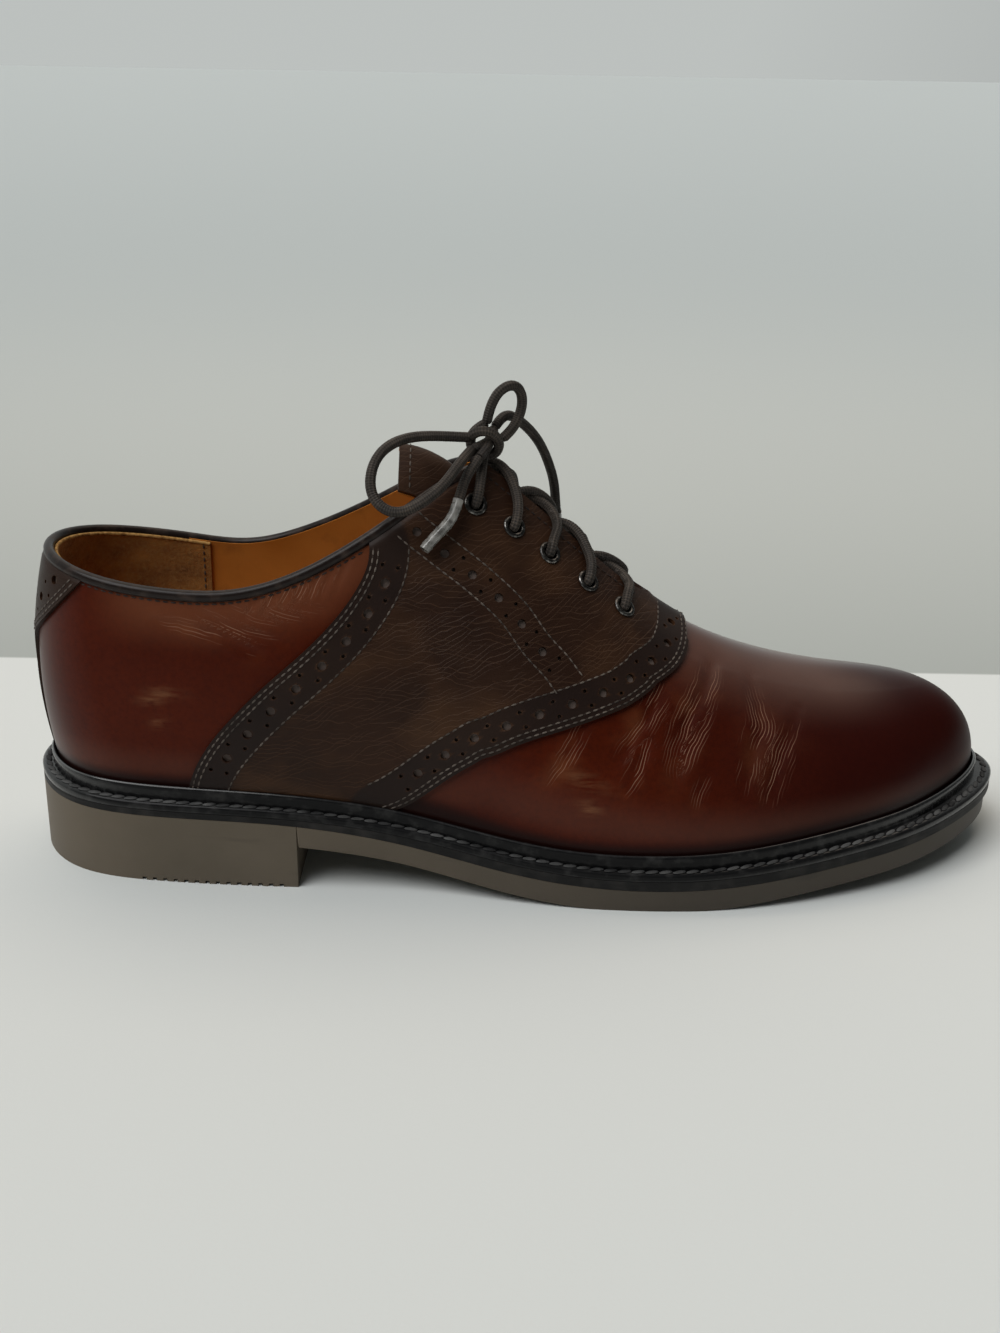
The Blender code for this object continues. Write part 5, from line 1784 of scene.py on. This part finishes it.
welt_section = (
    from_sole_edge(0.01, 0.05),
    from_sole_edge(-0.01, 0.5),
    from_sole_edge(-0.02, WELT_WALL - 0.9),
    from_sole_edge(0.05, WELT_WALL - 0.4),
    from_sole_edge(0.16, WELT_WALL - 0.1),
    from_sole_edge(0.3, WELT_WALL - 0.05),
    from_sole_edge(0.45, WELT_WALL - 0.25),
    from_sole_edge(0.53, WELT_WALL - 0.15),
    beside_leather(WELT_WALL + 0.4, 1.95),
    beside_leather(WELT_WALL + 1.6, 1.75),
    beside_leather(LIP_HEIGHT - 1.6, 1.8),
    beside_leather(LIP_HEIGHT - 0.6, 1.7),
    beside_leather(LIP_HEIGHT - 0.1, 1.3),
    beside_leather(LIP_HEIGHT, 0.85),
    beside_leather(LIP_HEIGHT - 0.35, 0.5),
    beside_leather(LIP_HEIGHT - 1.2, 0.45),
    beside_leather(0.1, 0.3),
    from_sole_edge(0.01, 0.05),
)
welt_polish = np.zeros((1, len(welt_section)))
welt_polish[0, LIP_CREST] = 1.0
welt_work = bent_grid(np.stack(welt_section, 1), {"polished": welt_polish})
close_up(welt_work)
add_piece("welt", welt_work, WELT_BLACK, ["welt"], sharp=60.0)

# %% Welt stitches
WELT_PITCH = 4.1
WELT_THREAD = make_thread_finish("welt_thread", rgb(0.012, 0.012, 0.0125), rgb(0.085, 0.085, 0.084))
welt_line = from_sole_edge(0.3, WELT_WALL + 0.1)
WELT_SLANT = Matrix.Rotation(math.radians(15.0), 4, "Z")
welt_length = lengths_along(welt_line)
welt_at = np.arange(0.0, welt_length[-1], WELT_PITCH)
welt_spot = at_lengths(welt_at, welt_length, welt_line)
welt_run = unit(at_lengths(welt_at, welt_length, np.gradient(welt_line, axis=0)))
thick_stitch = stitch_shape(4.3, 1.7, 0.5)
welt_rows = bmesh.new()
for spot, run in zip(welt_spot, welt_run):
    welt_frame = stitch_frame(Vector(placed(spot)), Vector(run), Vector((0, 0, 1)))
    lay_stitch(welt_rows, thick_stitch, welt_frame @ WELT_SLANT)
add_piece("welt_stitches", welt_rows, WELT_THREAD)

# %% [markdown]
# Under the welt lies a black midsole, and under that the rubber sole with its heel in one piece.
# Both are layers of the same plan. The heel drops straight down at its breast, so two columns of the grid
# stand almost together there. Grooves are cut across the heel and inside the forefoot.

# %% Midsole and outsole
def make_edge_finish():
    finish, tree, shader, place = start_finish("black_edge", IOR=1.3)
    lines = noise(tree, place, 600.0, 4.0, stretch=(0.12, 0.12, 2.2))
    dust = limits(tree, noise(tree, place, 150.0, 5.0), 0.46, 0.76)
    dusty = maths(tree, "MULTIPLY", dust, 0.6)
    colour = mix(tree, dusty, rgb(0.0075, 0.0072, 0.0072), rgb(0.04, 0.037, 0.034))
    roughness = limits(tree, lines, 0.3, 0.7, 0.48, 0.68)
    end_finish(tree, shader, colour, roughness, bump(tree, lines, 0.3, 0.0004))
    return finish


def make_rubber_finish():
    finish, tree, shader, place = start_finish("taupe_rubber", Specular_IOR_Level=0.4)
    cloud = noise(tree, place, 26.0, 5.0)
    colour = mix(tree, limits(tree, cloud, 0.3, 0.72), rgb(0.095, 0.075, 0.051), rgb(0.14, 0.112, 0.08))
    along = add_node(tree, "ShaderNodeSeparateXYZ", {0: place}).outputs[0]
    # Painted shade: the front of the sole, which tapers away under the shoe, is painted darker.
    colour = mix(tree, limits(tree, along, -0.07, 0.05), colour, rgb(0.055, 0.044, 0.032))
    streak = noise(tree, place, 60.0, 3.0, stretch=(0.35, 0.5, 2.6))
    smear = maths(tree, "MULTIPLY", limits(tree, streak, 0.62, 0.74), limits(tree, cloud, 0.4, 0.6))
    colour = mix(tree, maths(tree, "MULTIPLY", smear, 0.7), colour, rgb(0.03, 0.025, 0.021))
    pores = noise(tree, place, 1200.0, 3.0)
    roughness = limits(tree, cloud, 0.3, 0.7, 0.5, 0.64)
    end_finish(tree, shader, colour, roughness, bump(tree, pores, 0.12, 0.0003))
    return finish


BLACK_EDGE = make_edge_finish()
RUBBER = make_rubber_finish()
LAYER_GAP = 0.1
SOLE_ROWS = 30
SOLE_STEPS = 260
HEEL_TAPER = 1.3
TREAD_TAPER = 0.43

sole_share = round_spacing(SOLE_STEPS)
midsole_top = sole_grid(toe_inset, sole_share, SOLE_ROWS, lambda x: BED_Z(x) - LAYER_GAP)
midsole_bottom = sole_grid(toe_inset, sole_share, SOLE_ROWS, lambda x: RUBBER_Z(x) + LAYER_GAP)
add_piece("midsole", layer(midsole_top, midsole_bottom), BLACK_EDGE, ["midsole"])

# %% Outsole
BREAST_RUN = 0.8
BREAST_SHIFT = 1.2
breast_share = np.array([HEEL_BREAST_X, HEEL_BREAST_X + BREAST_RUN]) / SOLE_LENGTH
outsole_share = np.sort(np.append(sole_share, breast_share))


def tread_height(x):
    return np.where(x <= HEEL_BREAST_X + 0.05, 0.0, np.maximum(TREAD_Z(x), 0.0))


def tread_inset(u):
    return np.where(EDGE_X(u) <= HEEL_BREAST_X + BREAST_SHIFT, HEEL_TAPER, TREAD_TAPER)


outsole_top = sole_grid(0.0, outsole_share, SOLE_ROWS, RUBBER_Z)
outsole_bottom = sole_grid(tread_inset, outsole_share, SOLE_ROWS, TREAD_Z)
outsole_bottom[..., 0] = outsole_top[..., 0]
outsole_bottom[..., 2] = tread_height(outsole_bottom[..., 0])
outsole = add_piece("outsole", layer(outsole_top, outsole_bottom), RUBBER, ["outsole"])

# %% Grooves of the tread
# Each set of grooves: first and last place along the sole, pitch, half length, width and depth
GROOVES = (
    (38.0, 82.0, 3.3, 60.0, 1.3, 1.0),
    (168.0, 262.0, 6.0, 34.0, 2.0, 0.9),
)
groove_bars = bmesh.new()
for from_x, to_x, pitch, half_length, wide, deep in GROOVES:
    for x in np.arange(from_x, to_x, pitch):
        floor_z = float(tread_height(np.array(x)))
        bar = bmesh.ops.create_cube(groove_bars, size=MM)
        bmesh.ops.scale(groove_bars, verts=bar["verts"], vec=(wide, 2 * half_length, 2 * deep))
        bmesh.ops.translate(groove_bars, verts=bar["verts"], vec=Vector(placed((x, 2.0, floor_z))))
punch([outsole], groove_bars, "grooves")

# %% [markdown]
# ## Stage and light
# The floor is a plain pale sheet, a tone darker towards the back.
# A wide soft sun over the camera's left shoulder lights it evenly,
# so the shadows fall away behind the shoe.
# A long warm lamp hangs above the shoe and draws the sheen along the top of the leather.
# The world is pale behind the shoe and dark behind the camera. Polished leather mirrors that dark side,
# so its colour stays deep, and only its top carries a sheen.
# The mahogany finish also paints a sheen into the colour of the leather's top.

# %% Floor and light
FLOOR_HALF = 60.0
BACK_EDGE_Y = 0.152
LIGHT_AXIS = (-0.5, 0.82, 0.28)
KEY_FROM = (-0.45, -0.4, 0.85)
KEY_SPREAD = math.radians(42.0)
KEY_STRENGTH = 1.95
TOP_PLACE = (0.0, 0.38, 0.95)
TOP_LONG = 1.1
TOP_WIDE = 0.6
TOP_WATTS = 2.9
TOP_COLOUR = (1.0, 0.82, 0.66)


def make_floor_finish():
    finish, tree, shader, place = start_finish("pale_floor", Roughness=0.9, Specular_IOR_Level=0.1)
    weave = noise(tree, place, 900.0, 2.0)
    depth = add_node(tree, "ShaderNodeSeparateXYZ", {0: place}).outputs[1]
    back = limits(tree, depth, BACK_EDGE_Y - 0.001, BACK_EDGE_Y + 0.001)
    from_camera = maths(tree, "SUBTRACT", depth, CAMERA_PLACE[1])
    near_share = maths(tree, "DIVIDE", BACK_EDGE_Y - CAMERA_PLACE[1], from_camera)
    behind = mix(tree, near_share, rgb(0.68, 0.71, 0.695), rgb(0.395, 0.42, 0.405))
    colour = mix(tree, back, rgb(0.69, 0.715, 0.705), behind)
    end_finish(tree, shader, colour, None, bump(tree, weave, 0.08, 0.0004))
    return finish


def make_studio_world():
    world = bpy.data.worlds.new("studio")
    world.use_nodes = True
    tree = world.node_tree
    way = add_node(tree, "ShaderNodeTexCoord").outputs["Generated"]
    lean = add_node(tree, "ShaderNodeVectorMath", {0: way, 1: LIGHT_AXIS}, operation="DOT_PRODUCT")
    background = tree.nodes["Background"]
    background.inputs["Color"].default_value = rgb(0.955, 1.0, 0.975)
    strength = limits(tree, lean.outputs["Value"], -0.1, 0.75, 0.08, 0.53)
    tree.links.new(strength, background.inputs["Strength"])
    return world


floor_mesh = bpy.data.meshes.new("floor")
floor_work = bmesh.new()
bmesh.ops.create_grid(floor_work, x_segments=1, y_segments=1, size=FLOOR_HALF)
floor_work.to_mesh(floor_mesh)
floor_work.free()
floor_mesh.materials.append(make_floor_finish())
floor = bpy.data.objects.new("floor", floor_mesh)
bpy.context.scene.collection.objects.link(floor)


def add_lamp(name, kind, place, energy):
    """Lamp that stands at a place and points to the shoe."""
    data = bpy.data.lights.new(name, kind)
    data.energy = energy
    lamp = bpy.data.objects.new(name, data)
    aim = Vector(place).to_track_quat("Z", "Y").to_matrix().to_4x4()
    lamp.matrix_world = Matrix.Translation(place) @ aim
    bpy.context.scene.collection.objects.link(lamp)
    return data


add_lamp("key_lamp", "SUN", KEY_FROM, KEY_STRENGTH).angle = KEY_SPREAD
top_light = add_lamp("top_lamp", "AREA", TOP_PLACE, TOP_WATTS)
top_light.shape = "RECTANGLE"
top_light.size = TOP_LONG
top_light.size_y = TOP_WIDE
top_light.color = TOP_COLOUR
bpy.context.scene.world = make_studio_world()
bpy.context.scene.view_settings.view_transform = "Standard"
